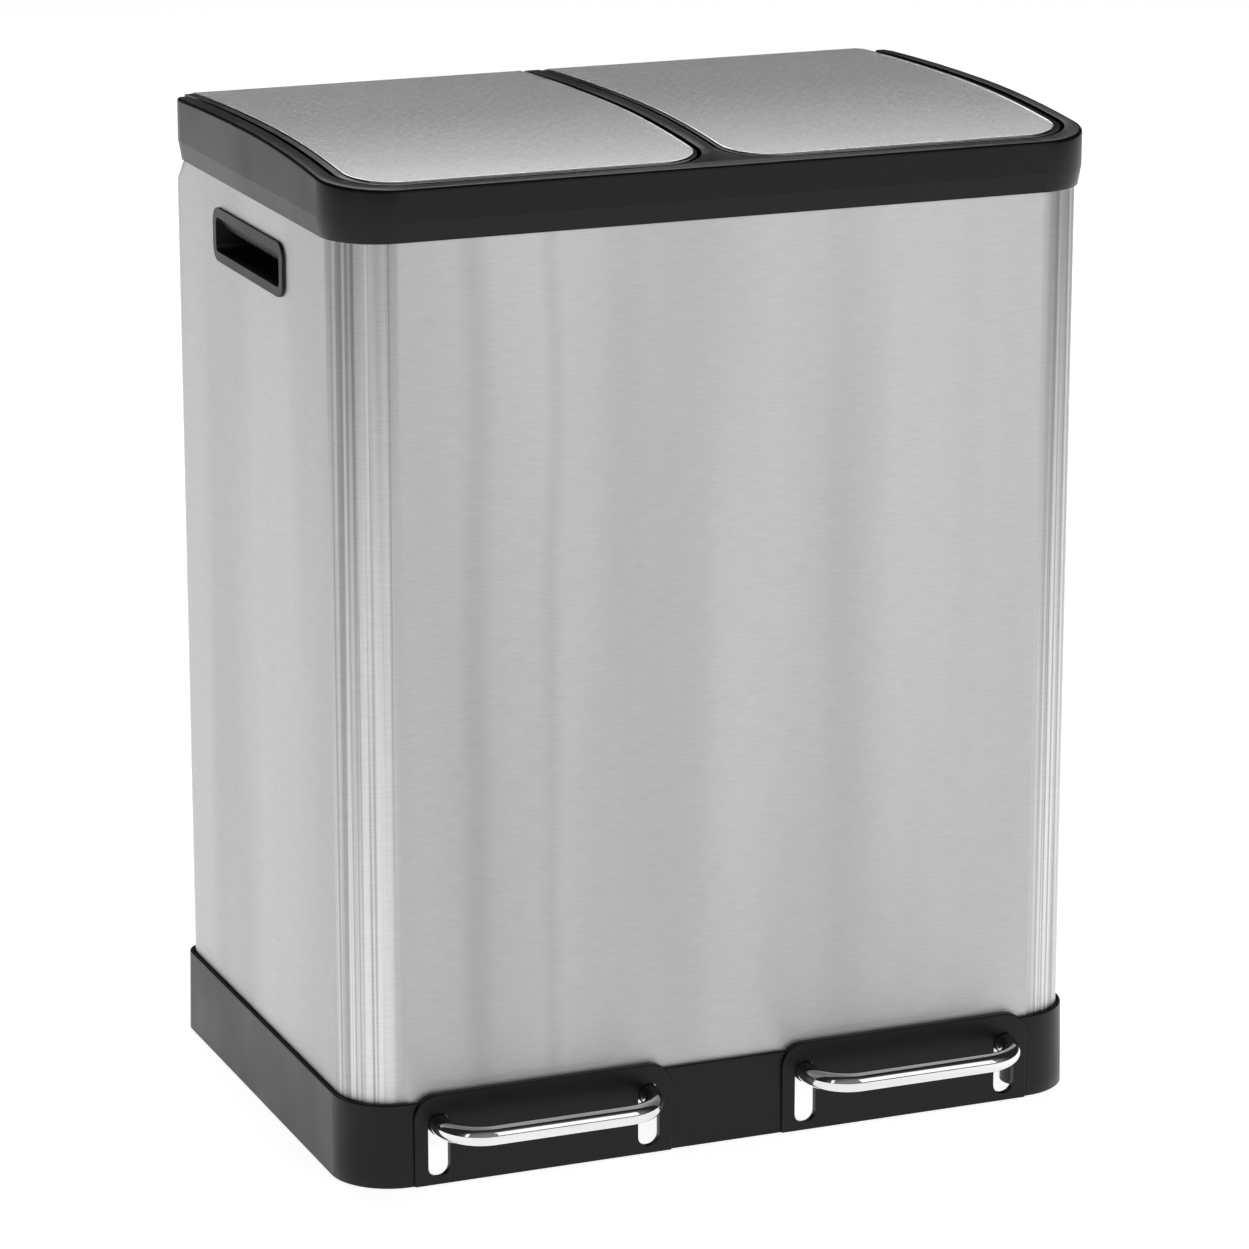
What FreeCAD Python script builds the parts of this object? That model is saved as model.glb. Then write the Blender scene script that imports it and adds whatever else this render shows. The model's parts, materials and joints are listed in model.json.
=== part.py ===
import FreeCAD, Part
import math
import os

# A free-standing double recycling bin: two inner buckets side by side in one
# steel body, each with its own lid, pedal, lever and push rod.
# Millimetres. X runs to the right, Y from front to back, Z up.
# Heights are measured from the lower edge of the base; place() lifts the whole
# model onto its feet and centres it on the origin.

V = FreeCAD.Vector

# ---------------------------------------------------------------- sizes
# body: the steel sheet round the front and sides, and the panel behind
body_width = 482.0
body_depth = 327.5
body_front = -157.0
body_top = 590.0                # upper edge of the sheet
body_sheet = 0.8
body_front_radius = 34.0
body_rear_radius = 15.5
body_top_radius = 34.0          # rear corners where the top frame grips them
corner_cut = 15.0               # height over which the rear corners close in
rear_return = 36.0              # sheet turned in behind the panel
panel_lap = 17.0                # how far the rear panel runs behind that return
panel_edge = 2.0                # the narrow top of the panel runs this far behind it
panel_step = 20.0               # height of the sloping shoulder of the panel

# base moulding
base_height = 53.0
base_overhang = 4.0             # base stands out from the body all round
base_front_radius = 38.0
base_rear_radius = 17.0
base_draft = 1.0                # each side, over the height
base_edge_round = 0.9
base_rim_clearance = 1.2        # body to the inside of the rim
deck_inset = 3.5                # deck below the rim
deck_thickness = 3.0
rib_thickness = 2.0
rib_depth = 12.0
rib_rows = 3
rib_gap = 10.0                  # ribs keep this far from the axle brackets and the rods

# feet
foot_stand = 1.5                # how far the feet lift the base
foot_diameter = 22.0
foot_stem_diameter = 8.0
foot_stem_length = 9.0
foot_inset_x = 27.0
foot_inset_y = 30.0
foot_boss_wall = 3.0
foot_recess = 0.8
foot_clearance = 0.1

# top frame
frame_grip = 10.0               # how far the frame reaches down over the sheet
frame_overhang = 4.0
frame_radius = 38.0
frame_band = 12.0               # tapered lower band
frame_taper = 2.0
frame_side_rim = 9.0
frame_front_rim = 8.5
frame_rear_wall = 2.0
frame_rear_rise = 10.0          # rear wall above the ledge
frame_rim_drop = 0.2            # rim below the lid surface
frame_edge_round = 2.4
frame_rim_end = 22.0            # side rims end this far in front of the frame's rear face
frame_rim_slope = 5.0
divider_width = 9.2
ledge_thickness = 3.0
ledge_side = 15.0
ledge_front = 12.0
mouth_radius = 26.0
groove_clearance = 0.5
frame_inner_skirt = 1.6
frame_skirt_short = 2.0
well_outer_radius = 35.0
well_divider_radius = 32.0
well_rear_radius = 2.0

# lid surface: two arcs that meet level at the crest, and a rolled rear edge
lid_rise = 32.0                 # crest of the lids above the sheet's upper edge
crest_y = 5.0
arc_front = 1330.0
arc_rear = 3000.0
roll_radius = 11.1
roll_clearance = 0.3            # rolled edge to the frame's rear wall

# lids
lid_skin = 0.6
lid_wall = 2.0
lid_side_gap = 3.2              # tray to the frame's side rim
lid_front_gap = 2.5
lid_divider_gap = 2.8
skin_side_margin = 4.4          # tray edge that shows beside the skin
skin_front_margin = 2.5
skin_divider_margin = 1.85
skin_front_radius = 28.0
skin_rear_radius = 5.0
lid_floor_gap = 2.0             # skirts of the tray above the ledge
roll_stop = 0.5                 # rolled edge ends this far above the hinge line
lid_trim = 0.4                  # plan outline of a lid behind its rolled edge
lid_open_angle = 75.0

# lid hinge
pin_diameter = 4.0
pin_fit = 0.1                   # running clearance round a pin
pin_press = 0.02
pin_end = 1.0
pin_head_diameter = 7.0
pin_head = 1.2
ear_thickness = 5.0
ear_radius = 6.0
ear_inset = 20.0                # from the edge of the lid well
ear_rear = 1.5
knuckle_thickness = 4.0
knuckle_gap = 1.0
knuckle_reach = 22.0
passage_gap = 2.0
bumper_diameter = 7.0
bumper_gap = 0.3
bumper_inset = 40.0

# buckets
bucket_divider_gap = 6.0
bucket_cup_gap = 1.0            # bucket to the inside of the handle cup
bucket_front_gap = 16.0         # bucket to the body's front face
bucket_rod_gap = 1.2            # bucket's lip to the cap of a push rod
mouth_rod_room = 3.2            # cap of a push rod to the mouth's rear edge
bucket_below = 6.0              # bucket's lip below the frame's ledge
bucket_wall = 2.0
bucket_floor = 2.5
bucket_draft = 6.0
bucket_radius = 28.0
bucket_lip = 3.0
bucket_lip_thickness = 3.0

# bails
bail_wire = 4.0
bail_gap = 0.3
bail_front_inset = 13.0
bail_bend = 12.0
bail_end_bend = 2.5
bail_ear_thickness = 3.0
bail_ear_wall = 3.0
bail_ear_gap = 0.4
bail_pivot_y = -2.0
grip_wall = 3.0
grip_length = 90.0

# side handle cups
cup_length = 133.0
cup_height = 33.5
cup_centre_y = 15.5
cup_below_frame = 34.8          # middle of the cup below the frame
cup_corner = 9.5
cup_proud = 1.6
cup_bezel = 6.0                 # width of the bezel and cup wall that shows
cup_flange = 3.0                # bezel beyond the window in the sheet
cup_depth = 24.0
cup_wall = 2.0
cup_fit = 0.4
cup_lip_drop = 9.0
cup_lip_reach = 7.0
cup_lip_thickness = 2.0

# pedals
pedal_middle_room = 52.5        # inner leg from the middle of the bin
pedal_side_room = 55.5          # outer leg from the side of the base
pedal_bar_diameter = 12.0
pedal_bend = 25.0
pedal_reach = 31.0              # bar centre in front of the base
pedal_leg_height = 38.5
pedal_travel = 26.0             # at the slot
pedal_leg_inside = 61.0         # how far the legs run in behind the base's face
slot_gap = 1.0
pad_margin = 8.5                # pad beyond its slots
pad_rise = 4.5                  # pad above the base's rim
pad_corner = 15.0
pad_proud = 1.5
pad_edge_round = 0.8

# levers under the deck
axle_y = 0.0
axle_diameter = 6.0
axle_clearance = 0.1
lever_plate = 3.0
lever_gap = 27.0                # between the two plates of a lever
lever_depth = 9.0
lever_nose = 4.0
hub_wall = 3.0
cross_plate_thickness = 2.5
cross_plate_depth = 34.0
cross_plate_overhang = 5.5
lift_pin_diameter = 6.0
lift_pin_wall = 3.0
bracket_sheet = 2.0
bracket_side_gap = 0.5
bracket_half_depth = 14.0
bracket_wall = 6.0              # bracket round the axle
axle_overhang = 4.0
clip_thickness = 0.8
clip_wall = 2.0
clip_mouth = 4.0
screw_diameter = 4.0
screw_head_diameter = 8.0
screw_head = 2.2
screw_inset = 5.0
screw_tip = 1.0                 # left of the deck above the screw

# push rods
rod_rear_gap = 26.5             # rod centre in front of the body's rear face
rod_diameter = 5.0
rod_seat_gap = 0.3
rod_guide_clearance = 0.3
cap_wall = 2.0
cap_height = 11.0
cap_cover = 4.0
lug_radius = 3.0
lug_gap = 0.7
lug_thickness = 6.0
lug_plate = 2.0
lug_plate_half = 15.0
lug_plate_front = 26.0
lug_plate_rear = 8.0
bush_wall = 1.7
bush_flange_wall = 2.0
bush_flange = 1.5
bush_tail = 2.0
bush_clearance = 0.05
guide_below = 140.0             # rod guides below the frame
guide_width = 40.0
guide_tall = 30.0
guide_sheet = 2.0
guide_nose = 4.0
guide_corner = 6.0
rivet_diameter = 4.0
rivet_head_diameter = 7.0
rivet_head = 1.2
rivet_bulb = 1.5
rivet_rows = 5
rivet_margin = 40.0             # first and last rivet from the ends of the straight edge

# ---------------------------------------------------------------- worked-out places
body_half = body_width / 2
body_rear = body_front + body_depth
panel_front = body_rear - 2 * body_sheet
frame_bottom = body_top - frame_grip
corner_cut_low = frame_bottom - corner_cut
base_half = body_half + base_overhang
base_front = body_front - base_overhang
base_rear = body_rear + base_overhang
deck_top = base_height - deck_inset
deck_under = deck_top - deck_thickness
rim_inner = body_half + base_rim_clearance
frame_half = body_half + frame_overhang
frame_front = body_front - frame_overhang
frame_rear = body_rear + frame_overhang
ledge_top = body_top + ledge_thickness
crest_height = body_top + lid_rise
above_all = crest_height + 10

well_outer = frame_half - frame_side_rim
well_front = frame_front + frame_front_rim
well_rear = frame_rear - frame_rear_wall
well_inner = divider_width / 2
mouth_outer = body_half - ledge_side
mouth_front = body_front + ledge_front
rim_end = frame_rear - frame_rim_end

tray_inner = well_inner + lid_divider_gap
tray_outer = well_outer - lid_side_gap
tray_front = well_front + lid_front_gap
skin_inner = tray_inner + skin_divider_margin
skin_outer = tray_outer - skin_side_margin
skin_front = tray_front + skin_front_margin
lid_floor = ledge_top + lid_floor_gap

hinge_y = well_rear - roll_clearance - roll_radius
hinge_lean = math.asin((hinge_y - crest_y) / (arc_rear - roll_radius))
hinge_z = crest_height - arc_rear + (arc_rear - roll_radius) * math.cos(hinge_lean)

outer_leg_x = base_half - pedal_side_room
pedal_x = (outer_leg_x + pedal_middle_room) / 2
pedal_leg_spacing = outer_leg_x - pedal_middle_room
pedal_bar_y = base_front - pedal_reach
pedal_leg_end = base_front + pedal_leg_inside
slot_width = pedal_bar_diameter + 2 * slot_gap
slot_high = pedal_leg_height + slot_width / 2
slot_low = pedal_leg_height - pedal_travel - slot_width / 2 - slot_gap
pad_width = pedal_leg_spacing + slot_width + 2 * pad_margin

rod_y = body_rear - rod_rear_gap
hub_diameter = axle_diameter + 2 * hub_wall
lever_end_radius = lift_pin_diameter / 2 + lift_pin_wall
bracket_drop = axle_diameter / 2 + bracket_wall
axle_z = pedal_leg_height - pedal_travel / 2
lever_front = axle_y - base_front
lever_rear = rod_y - axle_y
half_swing = math.asin(pedal_travel / 2 / lever_front)
pedal_angle = 2 * math.degrees(half_swing)
lift_pin_z = axle_z - lever_rear * math.tan(half_swing)
lever_arm = lever_rear / math.cos(half_swing)
rod_lift = 2 * lever_arm * math.sin(half_swing)
half_open = math.radians(lid_open_angle / 2)
lug_arm = rod_lift / (2 * math.sin(half_open))
lug_y = hinge_y - lug_arm * math.cos(half_open)
lug_z = hinge_z - lug_arm * math.sin(half_open)
rod_bottom = lift_pin_z + lift_pin_diameter / 2 + rod_seat_gap
rod_top = lug_z - lug_radius - lug_gap
cap_diameter = rod_diameter + 2 * cap_wall
mouth_rear = rod_y + cap_diameter / 2 + mouth_rod_room
guide_height = frame_bottom - guide_below

bucket_top = body_top - bucket_below
bucket_inner = well_inner + bucket_divider_gap
bucket_outer = body_half - cup_depth - bucket_cup_gap
bucket_front = body_front + bucket_front_gap
bucket_rear = rod_y - cap_diameter / 2 - bucket_rod_gap - bucket_lip
bail_z = bucket_top + bail_wire / 2 + bail_gap
bail_ear_radius = bail_wire / 2 + bail_ear_wall
bail_side = bail_ear_thickness + bail_ear_gap + bail_end_bend - bucket_lip

shift_y = (-(pedal_bar_y - pedal_bar_diameter / 2) - max(base_rear, frame_rear)) / 2


# ---------------------------------------------------------------- helpers
def place(shape):
    """Move a shape from the drawing frame to the part's own frame."""
    moved = shape.copy()
    moved.translate(V(0, shift_y, foot_stand))
    return moved


def mirrored(shape):
    """The same piece on the other side of the bin."""
    return shape.mirror(V(0, 0, 0), V(1, 0, 0))


def box(x0, x1, y0, y1, z0, z1):
    return Part.makeBox(x1 - x0, y1 - y0, z1 - z0, V(x0, y0, z0))


def rod_along(axis, radius, start, length):
    """Cylinder from a start point along 'x', 'y' or 'z'."""
    ways = {"x": V(1, 0, 0), "y": V(0, 1, 0), "z": V(0, 0, 1)}
    return Part.makeCylinder(radius, length, V(*start), ways[axis])


def rounded_wire(x0, x1, y0, y1, radii, z=0.0):
    """Rectangle with its own radius at each corner.
    radii: front at x0, front at x1, rear at x1, rear at x0."""
    a, b, c, d = radii
    k = 1 - math.sqrt(0.5)
    corners = [
        (V(x1 - b, y0, z), V(x1 - b * k, y0 + b * k, z), V(x1, y0 + b, z)),
        (V(x1, y1 - c, z), V(x1 - c * k, y1 - c * k, z), V(x1 - c, y1, z)),
        (V(x0 + d, y1, z), V(x0 + d * k, y1 - d * k, z), V(x0, y1 - d, z)),
        (V(x0, y0 + a, z), V(x0 + a * k, y0 + a * k, z), V(x0 + a, y0, z)),
    ]
    edges = []
    for i, (start, middle, end) in enumerate(corners):
        edges.append(Part.Arc(start, middle, end).toShape())
        edges.append(Part.LineSegment(end, corners[(i + 1) % 4][0]).toShape())
    return Part.Wire(edges)


def slab(x0, x1, y0, y1, radii, z0, z1):
    """Upright block on a rounded rectangle."""
    return Part.Face(rounded_wire(x0, x1, y0, y1, radii, z0)).extrude(V(0, 0, z1 - z0))


def profile_along_x(points, x0, x1):
    """Polygon of (y, z) points, extruded from x0 to x1."""
    wire = Part.makePolygon([V(x0, y, z) for y, z in points + points[:1]])
    return Part.Face(wire).extrude(V(x1 - x0, 0, 0))


def joined(shapes):
    """One solid from pieces that share a wall or overlap."""
    first = shapes[0]
    return first.multiFuse(shapes[1:]).removeSplitter()


def swept(path, radius, start, direction):
    """Round bar along a flat path of lines and arcs."""
    circle = Part.Wire(Part.makeCircle(radius, V(*start), V(*direction)))
    return path.makePipeShell([circle], True, False)


# ---------------------------------------------------------------- outlines that several pieces share
def body_outline(offset, z0, z1, rear_radius):
    """Block on the body's outline, grown or shrunk all round."""
    front = body_front_radius + offset
    rear = rear_radius + offset
    return slab(-body_half - offset, body_half + offset, body_front - offset, body_rear + offset,
                (front, front, rear, rear), z0, z1)


def body_wire(offset, rear_radius, z):
    front = body_front_radius + offset
    rear = rear_radius + offset
    return rounded_wire(-body_half - offset, body_half + offset, body_front - offset,
                        body_rear + offset, (front, front, rear, rear), z)


def body_block(offset, z0, z1):
    """The body's outside: straight up, then closing in at the rear corners."""
    low = body_outline(offset, z0, corner_cut_low, body_rear_radius)
    cut = Part.makeLoft([body_wire(offset, body_rear_radius, corner_cut_low),
                         body_wire(offset, body_top_radius, frame_bottom)], True, True)
    high = body_outline(offset, frame_bottom, z1, body_top_radius)
    return joined([low, cut, high])


def frame_block(offset, z0, z1):
    """Block on the top frame's outline, grown or shrunk all round."""
    r = frame_radius + offset
    return slab(-frame_half - offset, frame_half + offset, frame_front - offset,
                frame_rear + offset, (r, r, r, r), z0, z1)


def surface_z(y, drop=0.0):
    """Height of the lid surface at y, or of a surface a drop below it."""
    radius = arc_front if y < crest_y else arc_rear
    centre = crest_height - radius
    return centre + math.sqrt((radius - drop) ** 2 - (y - crest_y) ** 2)


def surface_edges(x, y_start, y_end, drop):
    """The two arcs of the lid surface from y_start to y_end, in the plane at x."""
    def point(y):
        return V(x, y, surface_z(y, drop))
    front = Part.Arc(point(y_start), point((y_start + crest_y) / 2), point(crest_y))
    rear = Part.Arc(point(crest_y), point((crest_y + y_end) / 2), point(y_end))
    return [front.toShape(), rear.toShape()]


def under_surface(x0, x1, y_start, y_end, z_low, drop):
    """Everything under the lid surface, between two planes."""
    edges = surface_edges(x0, y_start, y_end, drop)
    corners = [V(x0, y_end, surface_z(y_end, drop)), V(x0, y_end, z_low),
               V(x0, y_start, z_low), V(x0, y_start, surface_z(y_start, drop))]
    for start, end in zip(corners, corners[1:]):
        edges.append(Part.LineSegment(start, end).toShape())
    return Part.Face(Part.Wire(edges)).extrude(V(x1 - x0, 0, 0))


def lid_form(x0, x1, y_start, z_low, drop, straight_below=False):
    """A lid's whole form: the arched top running into the rolled rear edge.
    Below the hinge line the rear is round, or straight down if asked."""
    r = roll_radius - drop
    lean = hinge_lean
    tangent_y = hinge_y + r * math.sin(lean)
    turn = math.pi / 4 + lean / 2 if straight_below else math.pi / 2 + lean / 2
    middle = V(x0, hinge_y + r * math.sin(turn), hinge_z + r * math.cos(turn))
    low = V(x0, hinge_y + r, hinge_z) if straight_below else V(x0, hinge_y, hinge_z - r)
    start = V(x0, y_start, surface_z(y_start, drop))
    edges = surface_edges(x0, y_start, tangent_y, drop)
    edges.append(Part.Arc(V(x0, tangent_y, surface_z(tangent_y, drop)), middle, low).toShape())
    corners = [low, V(x0, low.y, z_low), V(x0, y_start, z_low), start]
    for one, two in zip(corners, corners[1:]):
        edges.append(Part.LineSegment(one, two).toShape())
    return Part.Face(Part.Wire(edges)).extrude(V(x1 - x0, 0, 0))


# ---------------------------------------------------------------- base
def foot_places():
    """Centres of the four feet."""
    x = base_half - foot_inset_x
    return [(side * x, y) for side in (-1, 1)
            for y in (base_front + foot_inset_y, base_rear - foot_inset_y)]


def base_shell():
    """Drafted outer wall with the deck across it, open underneath."""
    def ring(offset, z):
        front = base_front_radius + offset
        rear = base_rear_radius + offset
        return rounded_wire(-base_half - offset, base_half + offset, base_front - offset,
                            base_rear + offset, (front, front, rear, rear), z)
    outer = Part.makeLoft([ring(0.0, 0.0), ring(-base_draft, base_height)], True, True)
    rim = [e for e in outer.Edges if e.BoundBox.ZMin > base_height - 0.01]
    outer = outer.makeFillet(base_edge_round, rim)
    above = body_outline(base_rim_clearance, deck_top, base_height + 1, body_rear_radius)
    below = body_outline(base_rim_clearance, -1, deck_under, body_rear_radius)
    return outer.cut(above).cut(below)


def pedal_pad(centre_x):
    """Raised pad round the two slots of a pedal, reaching up over the body's foot."""
    x0 = centre_x - pad_width / 2
    x1 = centre_x + pad_width / 2
    y0 = base_front - pad_proud
    y1 = body_front - base_rim_clearance
    pad_top = base_height + pad_rise
    pad = box(x0, x1, y0, y1, 0, pad_top)
    tops = [e for e in pad.Edges if e.BoundBox.ZMin > pad_top - 0.01 and e.BoundBox.XLength < 0.01]
    pad = pad.makeFillet(pad_corner, tops)
    rim = [e for e in pad.Edges if e.BoundBox.YMax < y0 + 0.01 and e.BoundBox.ZMax > 0.01]
    return pad.makeFillet(pad_edge_round, rim)


def pedal_slot(x):
    """Upright slot for one pedal leg."""
    r = slot_width / 2
    y0 = base_front - pad_proud - 1
    y1 = body_front + 1
    low = slot_low + r
    high = slot_high - r
    return joined([box(x - r, x + r, y0, y1, low, high),
                   rod_along("y", r, (x, y0, low), y1 - y0),
                   rod_along("y", r, (x, y0, high), y1 - y0)])


def base_ribs():
    """Stiffening ribs under the rear half of the deck, clear of the levers."""
    half = rim_inner + base_rim_clearance / 2
    rear = body_rear + base_rim_clearance + base_overhang / 4
    first = axle_y + bracket_half_depth + rib_gap
    last = rod_y - lever_end_radius - rib_gap - rib_thickness
    low = deck_under - rib_depth
    ribs = [box(-rib_thickness / 2, rib_thickness / 2, first, rear, low, deck_under)]
    for row in range(rib_rows):
        y = first + row * (last - first) / (rib_rows - 1)
        ribs.append(box(-half, half, y, y + rib_thickness, low, deck_under))
    free = lever_gap / 2 + lever_plate + lever_plate
    clear = [box(side * pedal_x - free, side * pedal_x + free, first - 1, rear + 1, low - 1, deck_under)
             for side in (-1, 1)]
    return [cut_all(rib, clear) for rib in ribs]


def bracket_screw_places():
    """Screws that hold one axle bracket to the deck, as seen from its centre."""
    half = lever_gap / 2 + lever_plate + bracket_side_gap
    return [(sx * (half - screw_inset), sy * (bracket_half_depth - screw_inset))
            for sx in (-1, 1) for sy in (-1, 1)]


def base_moulding():
    parts = [base_shell()]
    parts += [pedal_pad(side * pedal_x) for side in (-1, 1)]
    boss_radius = foot_diameter / 2 + foot_boss_wall
    for x, y in foot_places():
        parts.append(rod_along("z", boss_radius, (x, y, 0), deck_top - deck_thickness / 2))
    parts += base_ribs()
    base = joined(parts)
    cuts = [pedal_slot(side * pedal_x + leg * pedal_leg_spacing / 2)
            for side in (-1, 1) for leg in (-1, 1)]
    for x, y in foot_places():
        cuts.append(rod_along("z", foot_diameter / 2 + foot_clearance, (x, y, -1), 1 + foot_recess))
        cuts.append(rod_along("z", foot_stem_diameter / 2 + foot_clearance, (x, y, 0),
                              foot_recess + foot_stem_length + foot_clearance))
    for side in (-1, 1):
        cuts.append(rod_along("z", bush_radius() + bush_clearance, (side * pedal_x, rod_y, deck_under - 1),
                              deck_thickness + 2))
        for dx, dy in bracket_screw_places():
            cuts.append(rod_along("z", screw_diameter / 2, (side * pedal_x + dx, axle_y + dy, deck_under - 1),
                                  1 + deck_thickness - screw_tip))
    return cut_all(base, cuts)


def foot(x, y):
    """Rubber foot: a disc in its recess and a stem in the boss."""
    disc = rod_along("z", foot_diameter / 2, (x, y, -foot_stand), foot_stand + foot_recess)
    stem = rod_along("z", foot_stem_diameter / 2, (x, y, 0), foot_recess + foot_stem_length)
    edge = [e for e in disc.Edges if abs(e.BoundBox.ZMax + foot_stand) < 0.01 and e.BoundBox.XLength > 1]
    disc = disc.makeChamfer(foot_stand / 3, edge)
    return disc.fuse(stem).removeSplitter()


# ---------------------------------------------------------------- body
def cup_window(side, grow):
    """Hole in a side wall that a handle cup passes through."""
    return cup_block(side, cup_flange - grow, body_half - body_sheet - 1, body_half + 1)


def cup_block(side, inset, depth0, depth1):
    """Block on a handle cup's outline, drawn in all round."""
    middle_z = frame_bottom - cup_below_frame
    half_y = cup_length / 2 - inset
    half_z = cup_height / 2 - inset
    return side_block(side, cup_centre_y - half_y, cup_centre_y + half_y, middle_z - half_z,
                      middle_z + half_z, cup_corner - inset, depth0, depth1)


def side_block(side, y0, y1, z0, z1, radius, depth0, depth1):
    """Block with rounded corners as seen from the side, between two distances from the middle."""
    shape = slab(y0, y1, z0, z1, (radius, radius, radius, radius), 0, depth1 - depth0)
    shape.rotate(V(0, 0, 0), V(0, 0, 1), 90)
    shape.rotate(V(0, 0, 0), V(0, 1, 0), 90)
    shape.translate(V(depth0, 0, 0))
    return shape if side > 0 else mirrored(shape)


def body_shell():
    """The whole tube of sheet, before it is parted into wrap and panel."""
    return body_block(0.0, deck_top, body_top).cut(
        body_block(-body_sheet, deck_top - 1, body_top + 1))


def return_edge():
    """How far from the middle the turned-in sheet ends at the back."""
    return body_half - rear_return


def body_wrap():
    """Front, sides and the two narrow returns at the back, in one sheet."""
    edge = return_edge()
    opening = box(-edge, edge, body_rear - body_rear_radius, body_rear + 1,
                  deck_top - 1, body_top + 1)
    wrap = body_shell().cut(opening)
    for side in (-1, 1):
        wrap = wrap.cut(cup_window(side, cup_fit))
    return wrap.cut(Part.makeCompound(rivet_holes(panel_rivet_places())))


def panel_top_half():
    """Half the width of the panel where the top frame grips it."""
    return return_edge() + panel_edge


def rear_panel():
    """Flat sheet behind the buckets, lying against the inside of the returns."""
    y1 = body_rear - body_sheet
    y0 = y1 - body_sheet
    low_half = return_edge() + panel_lap
    high_half = panel_top_half()
    step = corner_cut_low - panel_step
    points = [(-low_half, deck_top), (low_half, deck_top), (low_half, step), (high_half, corner_cut_low),
              (high_half, body_top), (-high_half, body_top), (-high_half, corner_cut_low), (-low_half, step)]
    wire = Part.makePolygon([V(x, y0, z) for x, z in points + points[:1]])
    panel = Part.Face(wire).extrude(V(0, y1 - y0, 0))
    return panel.cut(Part.makeCompound(rivet_holes(panel_rivet_places() + guide_rivet_places())))


def panel_rivet_places():
    """Two upright rows of rivets through the returns and the panel."""
    low = deck_top + rivet_margin
    high = corner_cut_low - panel_step - rivet_margin / 2
    step = (high - low) / (rivet_rows - 1)
    x = return_edge() + panel_lap / 2
    return [(side * x, low + row * step) for side in (-1, 1) for row in range(rivet_rows)]


def guide_rivet_places():
    """Two rivets for each rod guide."""
    return [(side * pedal_x + dx, guide_height + guide_tall * 0.6)
            for side in (-1, 1) for dx in (-guide_width / 3, guide_width / 3)]


def rivet_holes(places):
    return [rod_along("y", rivet_diameter / 2, (x, body_rear - body_rear_radius, z), body_rear_radius + 1)
            for x, z in places]


def rivet(x, z, y_inside, y_outside):
    """Blind rivet: a domed head outside, a small bulb inside."""
    shank = rod_along("y", rivet_diameter / 2, (x, y_inside, z), y_outside - y_inside)
    head = rod_along("y", rivet_head_diameter / 2, (x, y_outside, z), rivet_head)
    rim = [e for e in head.Edges if abs(e.BoundBox.YMin - y_outside - rivet_head) < 0.01
           and e.BoundBox.XLength > 1]
    head = head.makeFillet(rivet_head * 0.6, rim)
    bulb = rod_along("y", rivet_diameter / 2 + rivet_bulb / 2, (x, y_inside - rivet_bulb, z), rivet_bulb)
    return joined([shank, head, bulb])


def panel_rivets():
    return Part.makeCompound([rivet(x, z, panel_front, body_rear) for x, z in panel_rivet_places()])


# ---------------------------------------------------------------- handle cups
def handle_cup(side):
    """Recessed carrying handle: bezel outside, cup inside, and a lip to pull on."""
    face = body_half + cup_proud
    back = body_half - cup_depth
    bezel = cup_block(side, 0.0, body_half, face)
    shell = cup_block(side, cup_flange, back, face)
    hollow = cup_block(side, cup_bezel, back + cup_wall, face + 1)
    cup = bezel.fuse(shell).cut(hollow)
    top = frame_bottom - cup_below_frame + cup_height / 2 - cup_bezel
    half = cup_length / 2 - cup_bezel + cup_wall / 4
    outer = face - cup_wall / 4
    inner = outer - cup_lip_reach
    over = top + cup_wall / 4
    lip_points = [(outer, over), (inner, top - cup_lip_drop),
                  (inner - cup_lip_thickness, top - cup_lip_drop), (outer - cup_lip_thickness, over)]
    start = cup_centre_y - half
    wire = Part.makePolygon([V(side * x, start, z) for x, z in lip_points + lip_points[:1]])
    lip = Part.Face(wire).extrude(V(0, 2 * half, 0))
    return cup.fuse(lip.cut(outside_cup(side))).removeSplitter()


def outside_cup(side):
    """What lies beyond the cup's own outline, to trim the lip at the rounded corners."""
    middle_z = frame_bottom - cup_below_frame
    y0 = cup_centre_y - cup_length
    y1 = cup_centre_y + cup_length
    block = side_block(side, y0, y1, middle_z - cup_height, middle_z + cup_height, cup_corner,
                       body_half - cup_depth - 1, body_half + cup_proud + 1)
    return block.cut(cup_block(side, cup_bezel - cup_wall / 2, body_half - cup_depth - 2,
                               body_half + cup_proud + 2))


# ---------------------------------------------------------------- top frame
def frame_outside():
    """Outer block of the frame under the arched top, with its tapered lower band."""
    def ring(offset, z):
        r = frame_radius + offset
        return rounded_wire(-frame_half - offset, frame_half + offset, frame_front - offset,
                            frame_rear + offset, (r, r, r, r), z)
    band_top = frame_bottom + frame_band
    band = Part.makeLoft([ring(-frame_taper, frame_bottom), ring(0.0, band_top)], True, True)
    block = joined([band, frame_block(0.0, band_top, above_all)])
    arch = under_surface(-frame_half - 1, frame_half + 1, frame_front - 1, frame_rear + 1,
                         frame_bottom - 1, frame_rim_drop)
    block = block.common(arch).removeSplitter()
    return block.makeFillet(frame_edge_round, top_outline(block))


def top_outline(block):
    """Edges where the frame's arched top meets its sides."""
    edges = []
    for edge in block.Edges:
        middle = edge.valueAt((edge.FirstParameter + edge.LastParameter) / 2)
        on_top = abs(middle.z - surface_z(middle.y, frame_rim_drop)) < 0.01
        if on_top and not on_crest(edge):
            edges.append(edge)
    return edges


def on_crest(edge):
    """True for the line along the crest, where the two arcs of the top meet."""
    return all(abs(v.Y - crest_y) < 0.01 for v in edge.Vertexes)


def lid_well(side):
    """The space that a lid lies in, above the ledge."""
    radii = (well_divider_radius, well_outer_radius, well_rear_radius, well_rear_radius)
    well = slab(well_inner, well_outer, well_front, well_rear, radii, ledge_top, above_all)
    return well if side > 0 else mirrored(well)


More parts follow.
